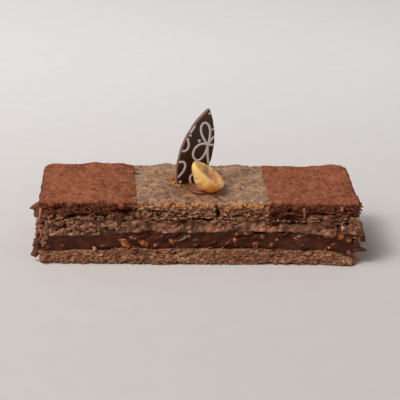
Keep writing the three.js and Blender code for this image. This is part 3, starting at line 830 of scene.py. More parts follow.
def bare_crust(finish):
    """The bare middle of the crust: low blisters and small pits, a thick smear of chocolate at the leaf's
    foot, a torn lip over the front and back."""
    p, q = skin_grid(BARE_FROM - 0.9, BARE_TO + 0.4, SKIN_STEP)
    points, normals, past, hang = drape(p, q)
    front = q < 0

    # Blisters and pits on the flat
    bend = 0.7 * noise(p / 3, q / 2, 201)
    blister = noise(p / 2.2 + bend, q / 2.2 + bend, 202)
    fine = noise(p / 0.7, q / 0.7, 203)
    near, _, mark = cells(p / 3.0 + bend, q / 3.4 - bend, 204)
    pit = ease(0.3, 0.05, near * (1 + 0.5 * fine)) * (mark > 0.8)
    for x, y, radius in CRUST_PITS:
        away = np.hypot(p - x, 0.8 * (q - y)) * (1 + 0.4 * fine)
        pit = np.maximum(pit, ease(radius, 0.3 * radius, away))
    rough = 0.24 * noise(p / 5, q / 5, 206) + 0.1 * blister + 0.07 * fine - 0.45 * pit

    # Chocolate smeared at the leaf's foot
    thin = ease(1.2, 0.6, oval(p, q, *SMEAR) + 0.4 * noise(p / 2.2, q / 2.2, 205))
    mound = 0.55 * ease(1.0, 0.3, oval(p, q, *MOUND) + 0.25 * noise(p / 1.8, q / 1.8, 213))

    # Torn chips over the rim
    rim = ease(-0.3, 1.1, past + 0.6 * noise(p / 1.6, q / 1.6, 212))
    across = past / 0.75 + 0.4 * noise(p / 2, past / 1.5, 208)
    gap_near, gap_second, chip = cells(p / 0.95, across, 207)
    hole = (chip < 0.3) * ease(0.05, 0.3, gap_second - gap_near)
    inside = ease(BARE_FROM - 0.2, BARE_FROM + 0.8, p) * ease(BARE_TO + 0.2, BARE_TO - 0.6, p)
    torn = (0.8 * (chip - 0.5) - 0.7 * hole + 0.25 * noise(p / 0.5, past / 0.45, 211)) * inside
    tuck = 2.2 * ease(0.6, 2.0, hang - 0.8 * noise(p / 2.5, 0 * q, 209))
    jut = jutting(p) * ease(0, 1, past) * front
    crack_away = np.abs(p - (CRACK - 0.1) - 0.3 * noise(q / 1.5, 0 * p, 210))
    crack = ease(1.0, 0.3, crack_away) * ease(-0.6, 0.4, past) * front

    relief = rough * (1 - 0.3 * thin) * (1 - rim) + mound + torn * rim - tuck + jut - 2.6 * crack
    # Pits, holes in the torn lip and the crack are painted darker, as shade in them
    flat_tone = 0.2 * blister + 0.2 * fine - 0.45 * pit
    rim_tone = 0.5 * (chip - 0.5) - 0.45 * hole
    tone = 0.5 + flat_tone * (1 - rim) + rim_tone * rim - 0.5 * crack
    smear = np.clip(0.6 * thin + mound, 0, 1)
    shape = sheet(points + normals * relief[..., None], normals)
    values = {"tone": both_faces(tone), "rim": both_faces(rim), "smear": both_faces(smear)}
    piece("bare_crust", shape, finish, "pastry", **values)


def cocoa_skin(name, node, x_from, x_to, edge, slant, finish):
    """Cocoa powder over one end: grained in short ripples, with a small step at the stencil's edge, which
    is the line edge + slant q, and a ragged hang at the front."""
    p, q = skin_grid(x_from, x_to, POWDER_STEP)
    points, normals, past, hang = drape(p, q)
    side = np.sign(x_from + x_to)
    seed = 230 + 10 * side
    rim = ease(0.0, 1.5, past)
    front = 0.15 + 0.85 * ease(-15.0, -18.0, q)
    swell = 0.2 * noise(p / 6, q / 6, seed) + 0.14 * noise(p / 2.1, q / 2.1, seed + 1)
    grain = 0.08 * noise(p / 0.9, q / 1.3, seed + 2) + 0.1 * noise(p / 0.45, q / 0.55, seed + 3)
    lumps = 0.5 * noise(p / 1.5, q / 1.5, seed + 4) + 0.4 * noise(p / 0.7, q / 0.7, seed + 5)
    frayed = 0.16 * noise(q / 1.3, 0 * p, seed + 6) + 0.12 * noise(q / 0.5, 0 * p, seed + 9)
    step = 1.4 * ease(0.3, 0.0, side * (p - edge - slant * q) + frayed)
    ragged = 1.4 * noise(p / 2.2, q / 2.2, seed + 7) + 0.8 * noise(p / 0.9, q / 0.9, seed + 8)
    tuck = 2.6 * ease(-0.6, 2.0, hang - ragged * front)
    relief = 0.42 + swell + grain + lumps * rim * front - step - tuck
    # Darker over the rim; where it tucks under it is painted darker, as shade
    tone = 0.5 + 0.5 * swell + 1.7 * grain - 0.4 * rim + 0.5 * lumps * rim - 0.3 * tuck
    shape = sheet(points + normals * relief[..., None], normals)
    piece(name, shape, finish, "cocoa", [node], tone=both_faces(tone))


# Creams

# Ridges on the front of the dark cream: x, z, half length, half height, height and slope in degrees
CREAM_RIDGES = [
    (-14.7, 11.0, 2.6, 0.9, 1.4, 26), (-16.8, 7.3, 1.4, 0.7, 1.1, 26), (-6.4, 10.3, 3.6, 0.9, 1.3, 22),
    (4.9, 9.1, 2.3, 0.8, 1.4, 22), (4.5, 6.7, 1.2, 0.6, 1.0, 20), (13.7, 12.4, 1.5, 0.7, 1.2, 20),
    (18.0, 13.0, 1.8, 0.7, 1.2, 12), (24.1, 11.7, 1.3, 0.8, 1.4, 26), (32.3, 13.2, 2.2, 0.8, 1.4, 24),
    (38.0, 10.6, 2.8, 2.0, 1.8, 0), (45.7, 11.4, 1.6, 0.7, 1.1, 26), (50.0, 12.0, 1.8, 0.9, 1.2, 26),
    (-35.6, 7.3, 3.2, 0.6, 0.9, 4), (10.5, 9.0, 2.2, 1.0, 1.5, 30), (27.5, 8.0, 2.0, 0.9, 1.3, 24),
    (-1.2, 8.2, 1.8, 0.8, 1.2, 26), (-24.0, 11.0, 2.0, 0.9, 1.2, 24),
]

# Hollows in the front of the dark cream, under the praline: x, z, half length and half height
CREAM_HOLLOWS = ((22.3, 13.6, 2.0, 0.8), (31.0, 13.8, 2.4, 0.5))


def dark_cream(finish):
    """The dark cream: smooth slanting folds, livelier towards the right, ridges that catch the light,
    and a few hollows under the praline. A painted sheen lightens what faces up, and praline is rubbed
    along its top."""
    length, width = HALF_LENGTH + CREAM_OUT, HALF_WIDTH - CREAM_INSET
    wall = Wall(length, width, base_top, cream_top, columns=1100, rows=56)
    lively = 0.25 + 0.75 * ease(-36.0, -24.0, wall.x)
    slanted = wall.z - 0.3 * wall.x + 1.4 * wall.noise(9, 5, 109)
    folds = 1.2 * np.abs(wall.noise(6.1, 2.6, 102, slanted))
    folds += 0.55 * np.abs(wall.noise(2.8, 1.5, 103, slanted))
    folds *= 0.55 + 0.45 * ease(0.1, 0.7, wall.share + 0.25 * wall.noise(7, 4, 114))
    push = 0.4 * wall.noise(10, 6, 101) + lively * (folds - 0.7) + 0.05 * wall.noise(1.1, 0.8, 104)
    for x, z, half_length, half_height, height, slope in CREAM_RIDGES:
        push += height * wall.ridge(x, z, half_length, half_height, slope)
    for number, place in enumerate(CREAM_HOLLOWS):
        push -= 2.0 * wall.spot(*place, 110 + number)
    wall.grid = wall.points(np.clip(push, -3.0, 2.3))
    # Painted sheen: lighter where the cream faces up
    film = 0.4 * ease(0.2, 0.8, facing(wall.grid)[..., 2]) * ease(-0.4, 0.4, wall.noise(4, 3, 106))
    patchy = np.maximum(ease(0.0, 0.5, wall.noise(3.5, 9, 107)), ease(-28.0, -36.0, wall.x))
    smear = 0.6 * patchy * ease(0.86, 1.0, wall.share + 0.07 * wall.noise(1.6, 1.2, 108))
    closed = tube(wall.grid)
    piece("dark_cream", closed, finish, "dark_cream", ["chocolate_cream"], film=film, smear=smear)
    return wall


# Hollows in the front of the praline: x, z, half length, half height and seed
PRALINE_HOLLOWS = (
    (31.5, 17.7, 6.2, 1.1, 128), (52.4, 16.9, 1.1, 1.0, 130), (55.3, 17.0, 1.1, 1.0, 131),
    (-58.7, 16.7, 1.1, 1.0, 132), (-50.8, 15.8, 1.1, 1.0, 133),
)


def praline_cream(finish):
    """The praline cream: soft lumps and upright drag marks, flaky chips towards the left end, hollows
    under the pastry."""
    length, width = HALF_LENGTH + CREAM_OUT, HALF_WIDTH - PRALINE_INSET
    wall = Wall(length, width, cream_top, praline_top, columns=1200, rows=44)
    slanted = wall.z - 0.42 * wall.x
    lumps = 0.4 * wall.noise(5, 3, 121) + 0.55 * wall.noise(1.9, 1.5, 122)
    lumps += 0.24 * wall.noise(0.9, 0.8, 124) + 0.9 * (np.abs(wall.noise(3.4, 1.7, 127, slanted)) - 0.35)
    dragged = lumps + 0.2 * wall.noise(0.9, 4, 123)
    hollow = ease(0.2, 0.55, wall.noise(5, 30, 126)) * ease(0.5, 0.95, wall.share)
    for place_and_seed in PRALINE_HOLLOWS:
        hollow = np.maximum(hollow, wall.spot(*place_and_seed))
    left = ease(-20.0, -28.0, wall.x) * ease(0.06, 0.25, wall.share)
    bend = 0.4 * wall.noise(2, 1.5, 140)
    near, second, mark = wall.cells(2.3, wall.z / 1.5 + bend, 141, bend)
    seam = ease(0.22, 0.04, second - near)
    chips = mark - 0.5 - 0.45 * seam
    foot = 0.3 * ease(0.45, 0.1, wall.share)
    wall.grid = wall.points((1 - 0.5 * left) * dragged + foot - 1.4 * hollow + left * chips)
    thin = ease(0.35, 0.0, wall.share) * ease(0.0, 0.5, wall.noise(3, 9, 129))
    # The hollows are painted darker, as shade in them
    tone = 0.5 + 0.22 * wall.noise(3, 2, 125) + 0.25 * dragged - 0.4 * hollow - 0.3 * thin
    tone += left * (0.4 * (mark - 0.5) - 0.25 * seam)
    piece("praline_band", tube(wall.grid), finish, "praline", ["praline_cream"], tone=tone)
    return wall


# Decoration

def on_leaf(a, h, lift):
    """Points from places across the leaf, along it to its tip, and out of its front from its middle."""
    turn, lean = LEAF_TURN, LEAF_LEAN
    across = np.array([np.cos(lean) * np.cos(turn), np.cos(lean) * np.sin(turn), -np.sin(lean)])
    along = np.array([np.sin(lean) * np.cos(turn), np.sin(lean) * np.sin(turn), np.cos(lean)])
    out = np.array([np.sin(turn), -np.cos(turn), 0.0])
    return LEAF_CENTRE + a[..., None] * across + h[..., None] * along + lift[..., None] * out


def leaf_half_width(h):
    """Half the leaf's width at a height along it: the sagitta of an arc through both tips."""
    radius = (LEAF_HALF_LENGTH**2 + LEAF_HALF_WIDTH**2) / (2 * LEAF_HALF_WIDTH)
    return np.sqrt(radius**2 - h**2) - radius + LEAF_HALF_WIDTH


def chocolate_leaf(finish):
    """A lens of two arcs: a rectangle with round corners carried along it, thinner at the tip. Each point
    of the section lies at a corner's centre, or between two, and off it by the corner's radius."""
    arc = np.radians(np.linspace(0, 90, 6))
    between = np.array([0.6, 0.2, -0.2, -0.6])
    half_centre = np.concatenate([0 * arc + 1, between, 0 * arc - 1])
    half_off = np.concatenate([np.cos(arc), 0 * between, np.cos(arc + np.pi / 2)])
    half_lift = np.concatenate([np.sin(arc), 0 * between + 1, np.sin(arc + np.pi / 2)])
    centre_a = np.concatenate([half_centre, -half_centre])
    centre_t = np.repeat([1.0, -1.0], len(half_centre))
    off_a = np.concatenate([half_off, -half_off])
    off_t = np.concatenate([half_lift, -half_lift])
    h = LEAF_HALF_LENGTH * np.linspace(-LEAF_FOOT, LEAF_TIP, 110)[:, None]
    wide = leaf_half_width(h) + LEAF_WAVER * noise(h / 1.3, np.sign(centre_a) * 9, 301)
    half = np.minimum(0.5 * LEAF_THICKNESS, 0.4 + 0.9 * leaf_half_width(h))
    radius = np.minimum(LEAF_ROUND, 0.5 * np.minimum(np.maximum(wide, 0.02), half))
    a = centre_a * (wide - radius) + radius * off_a
    t = centre_t * (half - radius) + radius * off_t
    grid = on_leaf(a, h + 0 * a, -t)
    corner = np.clip(1.6 * np.abs(off_a) - 0.35, 0, 1) * (np.abs(centre_a) == 1)
    edge = np.clip(corner + ease(0.5, 0.2, wide), 0, 1)
    # A painted reflection, lighter towards the top
    bloom = 0.34 * ease(40.0, 56.0, grid[..., 2])
    piece("leaf", tube(grid), finish, "dark_chocolate", ["chocolate_leaf"], edge=edge, bloom=bloom)


# Petals of the print: foot across and up the leaf, heading in degrees, length, width, start, stop, point
PETALS = [
    (3.4, 5.6, -25, 9.2, 2.3, 0, 1, 1),
    (3.4, 5.6, -156, 7.4, 3.3, 0, 0.5, 0),
    (3.4, 5.6, -156, 7.4, 2.0, 0.5, 1, 1),
    (3.4, 5.6, 106, 7.0, 2.0, 0.5, 1, 1),
    (3.4, 5.6, 46, 8.6, 2.5, 0.5, 1, 1),
    (3.4, 5.6, 150, 13.0, 2.0, 0, 0.5, 1),
    (-7.4, 8.8, 163, 7.6, 2.4, 0, 1, 1),
    (-6.85, 5.9, 14, 9.0, 1.8, 0, 1, 1),
    (-7.2, -12.2, 18, 9.8, 2.6, 0, 1, 1),
    (3.6, -12.8, -22, 6.4, 2.2, 0, 1, 1),
]

# Dots of the print: place across and along the leaf, and radius
DOTS = ((-0.4, 6.6, 0.62), (-4.5, 8.1, 0.5), (-3.2, -11.0, 0.6), (0.5, 17.9, 0.45), (3.5, 12.0, 0.42))

# Sections of a printed line, as shares of its width and height, and of a dot, of its radius and height
LINE_SECTION = np.array([[-0.42, 0.6], [0.0, 1.0], [0.42, 0.6], [0.5, -1.0], [-0.5, -1.0]])
DOT_SECTION = np.array([[1.0, -1.0], [1.0, 0.2], [0.7, 0.9], [0.2, 1.1]])


def printed(a, h, height):
    """A closed shape on the leaf's front from rows of places, at heights counted in the print's own."""
    return tube(on_leaf(a, h, 0.5 * LEAF_THICKNESS + PRINT_HEIGHT * height + 0 * a))


def petal(foot_a, foot_h, heading, length, width, start, stop, point):
    """Lines of one petal, cut off at the leaf's edge. It runs out length (1 - cos t)/2 from its foot and
    width sin t sin(t/2)^point to the side, for t from start to stop of a turn. Its foot is pointed where
    point is 1 and round where it is 0."""
    t = np.linspace(start, stop, 90) * 2 * np.pi
    forth = 0.5 * length * (1 - np.cos(t))
    side = width * np.sin(t) * np.sin(t / 2) ** point
    lead = np.radians(heading)
    a = foot_a + forth * np.sin(lead) + side * np.cos(lead)
    h = foot_h + forth * np.cos(lead) - side * np.sin(lead)
    half = leaf_half_width(np.clip(h, -LEAF_HALF_LENGTH, LEAF_HALF_LENGTH)) - PRINT_MARGIN
    inside = np.abs(a) < half
    way = np.stack([np.gradient(a), np.gradient(h)], -1)
    way /= np.linalg.norm(way, axis=-1, keepdims=True)
    aside = PRINT_WIDTH * LINE_SECTION[:, 0]
    line_a = np.clip(a[:, None] + way[:, 1:] * aside, -half[:, None], half[:, None])
    line_h = h[:, None] - way[:, :1] * aside
    runs = np.split(np.arange(len(t)), np.flatnonzero(np.diff(inside)) + 1)
    whole = [run for run in runs if inside[run[0]] and len(run) > 2]
    return [printed(line_a[run], line_h[run], LINE_SECTION[:, 1]) for run in whole]


def dot(a, h, radius):
    """A low round button: its section carried once round."""
    turn = np.linspace(0, 2 * np.pi, 20, endpoint=False)
    reach = radius * DOT_SECTION[:, :1]
    return printed(a + reach * np.cos(turn), h + reach * np.sin(turn), DOT_SECTION[:, 1:])


def leaf_print(finish):
    """The white ornament: petals in teardrop outline round points on the leaf, and dots."""
    lines = [line for row in PETALS for line in petal(*row)]
    dots = [dot(*row) for row in DOTS]
    piece("leaf_print", joined(lines + dots), finish, "dark_chocolate")


def hazelnut(finish):
    """Half a nut. Round its axis, each ring is the back's arc, with soft wrinkles, then the cut face
    with an uneven pale rim round a long hollow. Ring radii follow a power of a sine, and the tip is
    drawn out."""
    axis = NUT_AXIS / np.linalg.norm(NUT_AXIS)
    face = NUT_FACE - NUT_FACE @ axis * axis
    face /= np.linalg.norm(face)
    across = np.cross(axis, face)
    angle = np.linspace(0.03, np.pi - 0.03, 80)[:, None]
    radius = NUT_RADIUS * np.sin(angle) ** NUT_FULLNESS * (1 - NUT_TAPER * np.cos(angle))
    y = -NUT_HALF_LENGTH * np.cos(angle) - NUT_TIP * np.maximum(np.cos(angle), 0) ** 5
    slim = radius / NUT_RADIUS
    shoulder = NUT_SHOULDER * slim

    # The round back
    back = np.linspace(0, np.pi, 81)
    wrinkle = noise(back * 1.3 + 0 * y, y / 0.65, 313)
    ribs = 1 + NUT_WRINKLE * wrinkle * np.sin(back) + 0.02 * noise(back * 3 + 0 * y, y / 3, 311)
    back_x = -radius * np.cos(back) * ribs
    back_z = -shoulder - (NUT_DEPTH - NUT_SHOULDER) * slim * np.sin(back) * ribs

    # The cut face and its hollow
    over = np.linspace(1, -1, 62)[1:-1]
    over_x = radius * over
    inward = oval(over_x, y, 0.0, 0.6, 0.8 * NUT_RADIUS, NUT_HOLLOW_REACH)
    inward += 0.1 * noise(over_x / 1.4, y / 1.6, 315)
    uneven = 0.16 * noise(over_x / 1.2, y / 2.2, 312) + 0.16 * noise(over_x / 3, y / 0.9, 314)
    over_z = uneven * slim - shoulder * np.abs(over) ** 8 - NUT_HOLLOW * ease(1.05, 0.15, inward)

    x = np.concatenate([back_x, over_x], 1)
    z = np.concatenate([back_z, over_z], 1)
    grid = NUT_CENTRE + x[..., None] * across + (y + 0 * x)[..., None] * axis + z[..., None] * face

    # Its colours: tan into the cut, pale on the rim, amber below
    from_side = radius * (1 - np.abs(over)) * np.where(over < 0, 0.55, 1.0)
    from_rim = np.minimum(from_side, NUT_HALF_LENGTH - np.abs(y) + 0.6)
    tan = 0.5 * ease(0.5, 1.5, from_rim) + 0.5 * ease(0.95, 0.35, inward)
    cut = np.concatenate([0 * back_x, tan], 1)
    rim = 0.75 * np.concatenate([ease(0.15, 0.02, np.sin(back)) + 0 * y, 1 + 0 * over_x], 1)
    below = (33.0 - grid[..., 2]) / 7 + (grid[..., 0] - 2.0) / 14
    amber = ease(-0.1, 1.2, below) + np.concatenate([0.4 * wrinkle, 0 * over_x], 1)
    piece("hazelnut", tube(grid[:, ::-1]), finish, "hazelnut", ["hazelnut_half"],
          cut=cut[:, ::-1], amber=amber[:, ::-1], rim=rim[:, ::-1])


def chocolate_dab(finish):
    """A low dome with a fold that winds up it like a spiral, its outline wandering, its rim rounded down
    to the crust."""
    turn = np.linspace(0, 2 * np.pi, 96, endpoint=False)
    rise = np.radians(np.linspace(-25, 88, 40))[:, None]
    fold = 1 + DAB_FOLD * np.cos(rise) * np.cos(DAB_FOLDS * rise + turn)
    reach = DAB_RADIUS * fold * (1 + 0.07 * np.sin(2 * turn + 0.7) + 0.05 * np.sin(3 * turn + 2))
    x = DAB_CENTRE[0] + reach * np.cos(rise) * np.cos(turn)
    y = DAB_CENTRE[1] + reach * np.cos(rise) * np.sin(turn)
    z = crust_height(x, y) + DAB_HEIGHT * fold * np.sin(rise) + 0.12 * noise(x / 2, y / 2, 321)
    piece("dab", tube(np.stack([x, y, z], -1)), finish, "soft_chocolate", ["chocolate_dab"])


# Loose bits

def crumbs(name, centres, sizes, finish, slot, tones, stretch, smooth=False, dusts=0.0):
    """Small chips: balls of three rings and two poles with uneven corners, each turned and stretched by
    its own draws."""
    count = len(centres)
    up = np.radians([-42, 0, 42])[:, None]
    turn = np.linspace(0, 2 * np.pi, 6, endpoint=False)
    rings = np.stack([np.cos(up) * np.cos(turn), np.cos(up) * np.sin(turn), np.sin(up) + 0 * turn], -1)
    ball, faces = tube(rings)
    ball[-2:] = [[0, 0, -1], [0, 0, 1]]
    corners = ball * rng.uniform(0.55, 1.25, (count, len(ball), 1))
    corners = corners * rng.uniform(1 - stretch, 1 + stretch, (count, 1, 3))
    corners = corners * np.reshape(sizes, (-1, 1, 1))
    turned, _ = np.linalg.qr(rng.normal(size=(count, 3, 3)))
    turned *= np.sign(np.linalg.det(turned))[:, None, None]
    points = np.einsum("nij,nkj->nki", turned, corners) + centres[:, None, :]
    offsets = len(ball) * np.arange(count)[:, None, None]
    faces = [(f + offsets).reshape(-1, f.shape[1]) for f in faces]
    tone = np.repeat(tones, len(ball))
    dust = np.repeat(dusts + 0 * tones, len(ball))
    piece(name, (points.reshape(-1, 3), faces), finish, slot, smooth=smooth, tone=tone, dust=dust)


def flakes(name, rows, finish):
    """Thin flakes, one a row: its root, its way, where its flat side looks, then its length, half width,
    curl, taper, tone and dust. A flake is a flat tube of six rings of six points, three on each face. It
    runs from its root along its way, narrows by its taper to a ragged tip, bends by its curl and is a
    little crumpled."""
    count, rings, lanes = len(rows), 6, 3
    roots, ways, looks = (rows[:, None, None, k : k + 3] for k in (0, 3, 6))
    length, width, curl, taper, tone, dust = (rows[:, k, None, None] for k in range(9, 15))
    t = np.linspace(0, 1, rings)[:, None]
    lane = np.array([0, 1, 2, 2, 1, 0])
    face = np.array([1, 1, 1, -1, -1, -1])
    w = lane - 1.0
    ragged = rng.uniform(0.7, 1.2, (count, rings, lanes))[:, :, lane]
    crumple = rng.normal(0, 0.13, (count, rings, lanes))[:, :, lane]
    across = width * w * ragged * (1 - taper * t**1.5)
    thick = 0.5 * FLAKE_THICKNESS * face * (1.1 - 0.6 * t) * (1 - 0.6 * np.abs(w))
    lift = curl * t**2 + width * crumple * t + thick
    forth = length * (t + 0.08 * w * rng.uniform(-1, 1, (count, 1, 1)))
    ways = ways / np.linalg.norm(ways, axis=-1, keepdims=True)
    level = np.cross(ways, looks)
    level /= np.linalg.norm(level, axis=-1, keepdims=True)
    upward = np.cross(level, ways)
    points = roots + forth[..., None] * ways + across[..., None] * level + lift[..., None] * upward
    root_end = np.array([[0, 5, 4, 1], [1, 4, 3, 2]])
    tip_end = (rings - 1) * len(lane) + np.array([[0, 1, 4, 5], [1, 2, 3, 4]])
    template = np.concatenate([grid_faces(rings, len(lane), True), root_end, tip_end])
    offsets = rings * len(lane) * np.arange(count)[:, None, None]
    faces = (template + offsets).reshape(-1, 4)
    shade = tone * (1.1 - 0.3 * t) + 0.3 * (ragged - 1)
    shape = (points.reshape(-1, 3), [faces])
    piece(name, shape, finish, "pastry", tone=shade, dust=dust + 0 * shade)


def listed(flake_list):
    """Rows for flakes() from tuples of a root, a way, a look and six numbers."""
    return np.array([[*root, *way, *look, *numbers] for root, way, look, *numbers in flake_list])


def sprout(wall, count, choose):
    """Places on a wall drawn where choose is high: their points and outward normals."""
    weight = np.clip(choose + 0 * wall.z, 0, None).ravel()
    picks = rng.choice(weight.size, count, replace=False, p=weight / weight.sum())
    return wall.grid.reshape(-1, 3)[picks], facing(wall.grid).reshape(-1, 3)[picks]


def random_columns(count, *ranges):
    """Columns of even draws, one for each range."""
    return np.column_stack([rng.uniform(low, high, count) for low, high in ranges])


# Nut bits at the front of the cream: x, z, radius and how much of it the cream covers
NUT_BITS = [
    (-27.8, 8.1, 2.4, 0.0), (-21.2, 9.1, 2.7, 0.0), (-11.0, 9.3, 2.0, 0.04), (-4.2, 11.2, 1.2, 0.1),
    (13.3, 9.3, 2.0, 0.1), (21.3, 8.6, 2.3, 0.07), (29.5, 10.2, 1.2, 0.12), (38.4, 8.8, 2.3, 0.05),
    (36.6, 11.6, 1.4, 0.12), (53.6, 11.6, 2.3, -0.08), (56.6, 10.4, 1.6, -0.04),
]

# Nut bits at each end of the cream: y, z, radius and how much of it the cream covers
END_NUT_BITS = ((-9.0, 9.2, 1.6, 0.08), (2.0, 9.8, 1.3, 0.08), (10.0, 8.9, 1.6, 0.08))

# A pale bit near the right end: x, y, z, radius and how much of it the cream covers, and its tone
PALE_NUT_BIT = (53.7, -18.4, 16.2, 1.6, 0.07)
PALE_TONE = 0.7


def nut_bits(wall, finish):
    """Chopped hazelnut that shows at the cut sides of the dark cream, at the front, the back and both
    ends. Each bit is sunk into the nearest point of the cream's wall, and its dust is how much of it the
    cream covers. The pale bit lies in the praline, where its row puts it."""
    wanted = [(x, -HALF_WIDTH, z, radius, coat) for x, z, radius, coat in NUT_BITS]
    wanted += [(-x, HALF_WIDTH, z, radius, coat) for x, z, radius, coat in NUT_BITS]
    for y, z, radius, coat in END_NUT_BITS:
        wanted += [(side * HALF_LENGTH, side * y, z, radius, coat) for side in (1, -1)]
    wanted = np.array(wanted)
    coarse = wall.grid[::2, ::2].reshape(-1, 3)
    outward = np.broadcast_to(wall.out, wall.grid.shape)[::2, ::2].reshape(-1, 3)
    nearest = np.linalg.norm(coarse - wanted[:, None, :3], axis=-1).argmin(1)
    sunk = coarse[nearest] - 0.35 * wanted[:, 3:4] * outward[nearest]
    bits = np.concatenate([np.column_stack([sunk, wanted[:, 3:]]), [PALE_NUT_BIT]])
    tones = np.zeros(len(bits))
    tones[-1] = PALE_TONE
    spots, sizes, coats = bits[:, :3], bits[:, 3], bits[:, 4]
    crumbs("nut_bits", spots, sizes, finish, "hazelnut", tones, stretch=0.35, smooth=True, dusts=coats)


# Where a flake's flat side looks
AHEAD = (0.0, -1.0, 0.1)
LEFTISH = (-0.4, -1.0, 0.0)
RIGHTISH = (0.4, -1.0, 0.0)
UPWARD = (0.0, 0.0, 1.0)

# Torn flakes at the ends: root, way and look, then length, half width, curl, taper, tone and dust
END_FLAKES = [
    ((-59.8, -17.0, 23.3), (-1.0, 0.0, -0.3), AHEAD, 3.9, 1.6, 0.0, 0.9, 0.5, 0.8),
    ((-60.6, -17.0, 22.5), (-0.12, 0.0, -1.0), LEFTISH, 4.4, 2.0, 0.2, 0.5, 0.4, 0.8),
    ((-59.3, -18.5, 22.8), (-0.12, -0.04, -1.0), LEFTISH, 4.8, 0.5, 0.15, 0.3, 0.68, 0.1),
    ((-59.4, -18.4, 14.0), (0.1, -0.1, -1.0), LEFTISH, 2.4, 0.8, 0.4, 0.4, 0.62, 0.0),
    ((-58.6, -18.7, 9.6), (-0.1, -0.05, -1.0), LEFTISH, 2.4, 0.7, 0.4, 0.4, 0.62, 0.0),
    ((-60.0, -17.6, 18.6), (-0.4, -0.1, -1.0), LEFTISH, 3.2, 0.9, 0.1, 0.5, 0.6, 0.0),
    ((-60.2, -17.4, 16.2), (-0.45, -0.1, -0.9), LEFTISH, 2.8, 0.9, 0.1, 0.5, 0.8, 0.0),
    ((-60.4, -17.6, 13.9), (-0.4, -0.1, -1.0), LEFTISH, 3.0, 0.8, 0.1, 0.5, 0.5, 0.0),
    ((-60.0, -8.0, 19.6), (-0.9, 0.1, -0.5), AHEAD, 3.0, 1.6, -0.4, 0.6, 0.5, 0.3),
    ((38.6, -19.0, 24.0), (0.12, -0.06, -1.0), AHEAD, 4.4, 0.5, 0.1, 0.4, 0.72, 0.15),
    ((52.9, -18.9, 24.6), (0.1, -0.2, -1.0), AHEAD, 1.8, 0.7, 0.2, 0.3, 0.7, 0.1),
    ((58.8, -17.6, 25.0), (0.8, 0.0, -0.4), AHEAD, 2.6, 0.9, 0.0, 0.85, 0.4, 0.8),
    ((58.8, -17.4, 23.4), (0.85, 0.0, -0.45), AHEAD, 2.5, 0.9, 0.0, 0.8, 0.35, 0.7),
    ((57.0, -18.9, 20.4), (0.05, -0.05, -1.0), AHEAD, 4.6, 0.8, 0.3, 0.3, 0.6, 0.0),
    ((58.1, -18.7, 20.2), (0.15, -0.05, -1.0), RIGHTISH, 5.4, 0.8, 0.2, 0.2, 0.5, 0.0),
    ((59.1, -18.3, 19.8), (0.25, -0.03, -1.0), RIGHTISH, 5.6, 0.8, 0.2, 0.2, 0.72, 0.0),
    ((59.9, -17.8, 18.4), (0.34, 0.0, -1.0), RIGHTISH, 4.6, 0.7, 0.1, 0.2, 0.5, 0.0),
    ((60.7, -17.5, 15.2), (0.42, 0.0, -1.0), RIGHTISH, 2.6, 0.9, 0.1, 0.1, 0.6, 0.0),
    ((58.8, -17.6, 2.4), (1.0, 0.0, -0.2), AHEAD, 2.9, 0.9, 0.0, 0.85, 0.5, 0.0),
    ((58.6, -17.8, 3.8), (1.0, 0.0, 0.05), AHEAD, 1.8, 0.6, 0.0, 0.6, 0.6, 0.0),
    ((60.2, -6.0, 20.0), (0.95, 0.2, -0.2), AHEAD, 3.2, 1.8, -0.4, 0.6, 0.5, 0.3),
]

# Flakes soaked with chocolate, in the same order
STAINED_FLAKES = [
    ((-60.4, -17.4, 11.6), (-0.4, 0.0, -1.0), LEFTISH, 5.6, 0.85, 0.0, 0.3, 0.5, 0.0),
    ((-60.4, -17.2, 7.0), (-0.5, -0.03, -1.0), LEFTISH, 5.2, 1.2, -0.2, -0.1, 0.6, 0.0),
    ((-59.4, -17.6, 5.6), (-0.6, 0.0, -0.8), AHEAD, 3.6, 1.4, 0.0, 0.6, 0.3, 0.0),
    ((60.5, -17.4, 16.2), (0.42, 0.0, -1.0), RIGHTISH, 7.2, 1.3, 0.0, 0.75, 0.35, 0.0),
    ((60.3, -17.6, 13.6), (0.45, 0.0, -0.9), RIGHTISH, 4.6, 1.2, 0.0, 0.35, 0.3, 0.0),
    ((58.4, -17.2, 6.6), (1.0, 0.0, -0.12), AHEAD, 6.0, 1.6, 0.0, 0.9, 0.6, 0.0),
    ((57.8, -17.6, 6.0), (1.0, -0.02, 0.05), AHEAD, 4.4, 1.3, 0.0, 0.7, 0.45, 0.0),
    ((59.4, -18.0, 10.6), (0.5, 0.0, -0.9), AHEAD, 3.4, 0.9, 0.0, 0.5, 0.4, 0.0),
    ((60.0, -10.0, 9.6), (0.9, 0.2, -0.4), UPWARD, 3.4, 1.6, -0.4, 0.8, 0.4, 0.0),
]

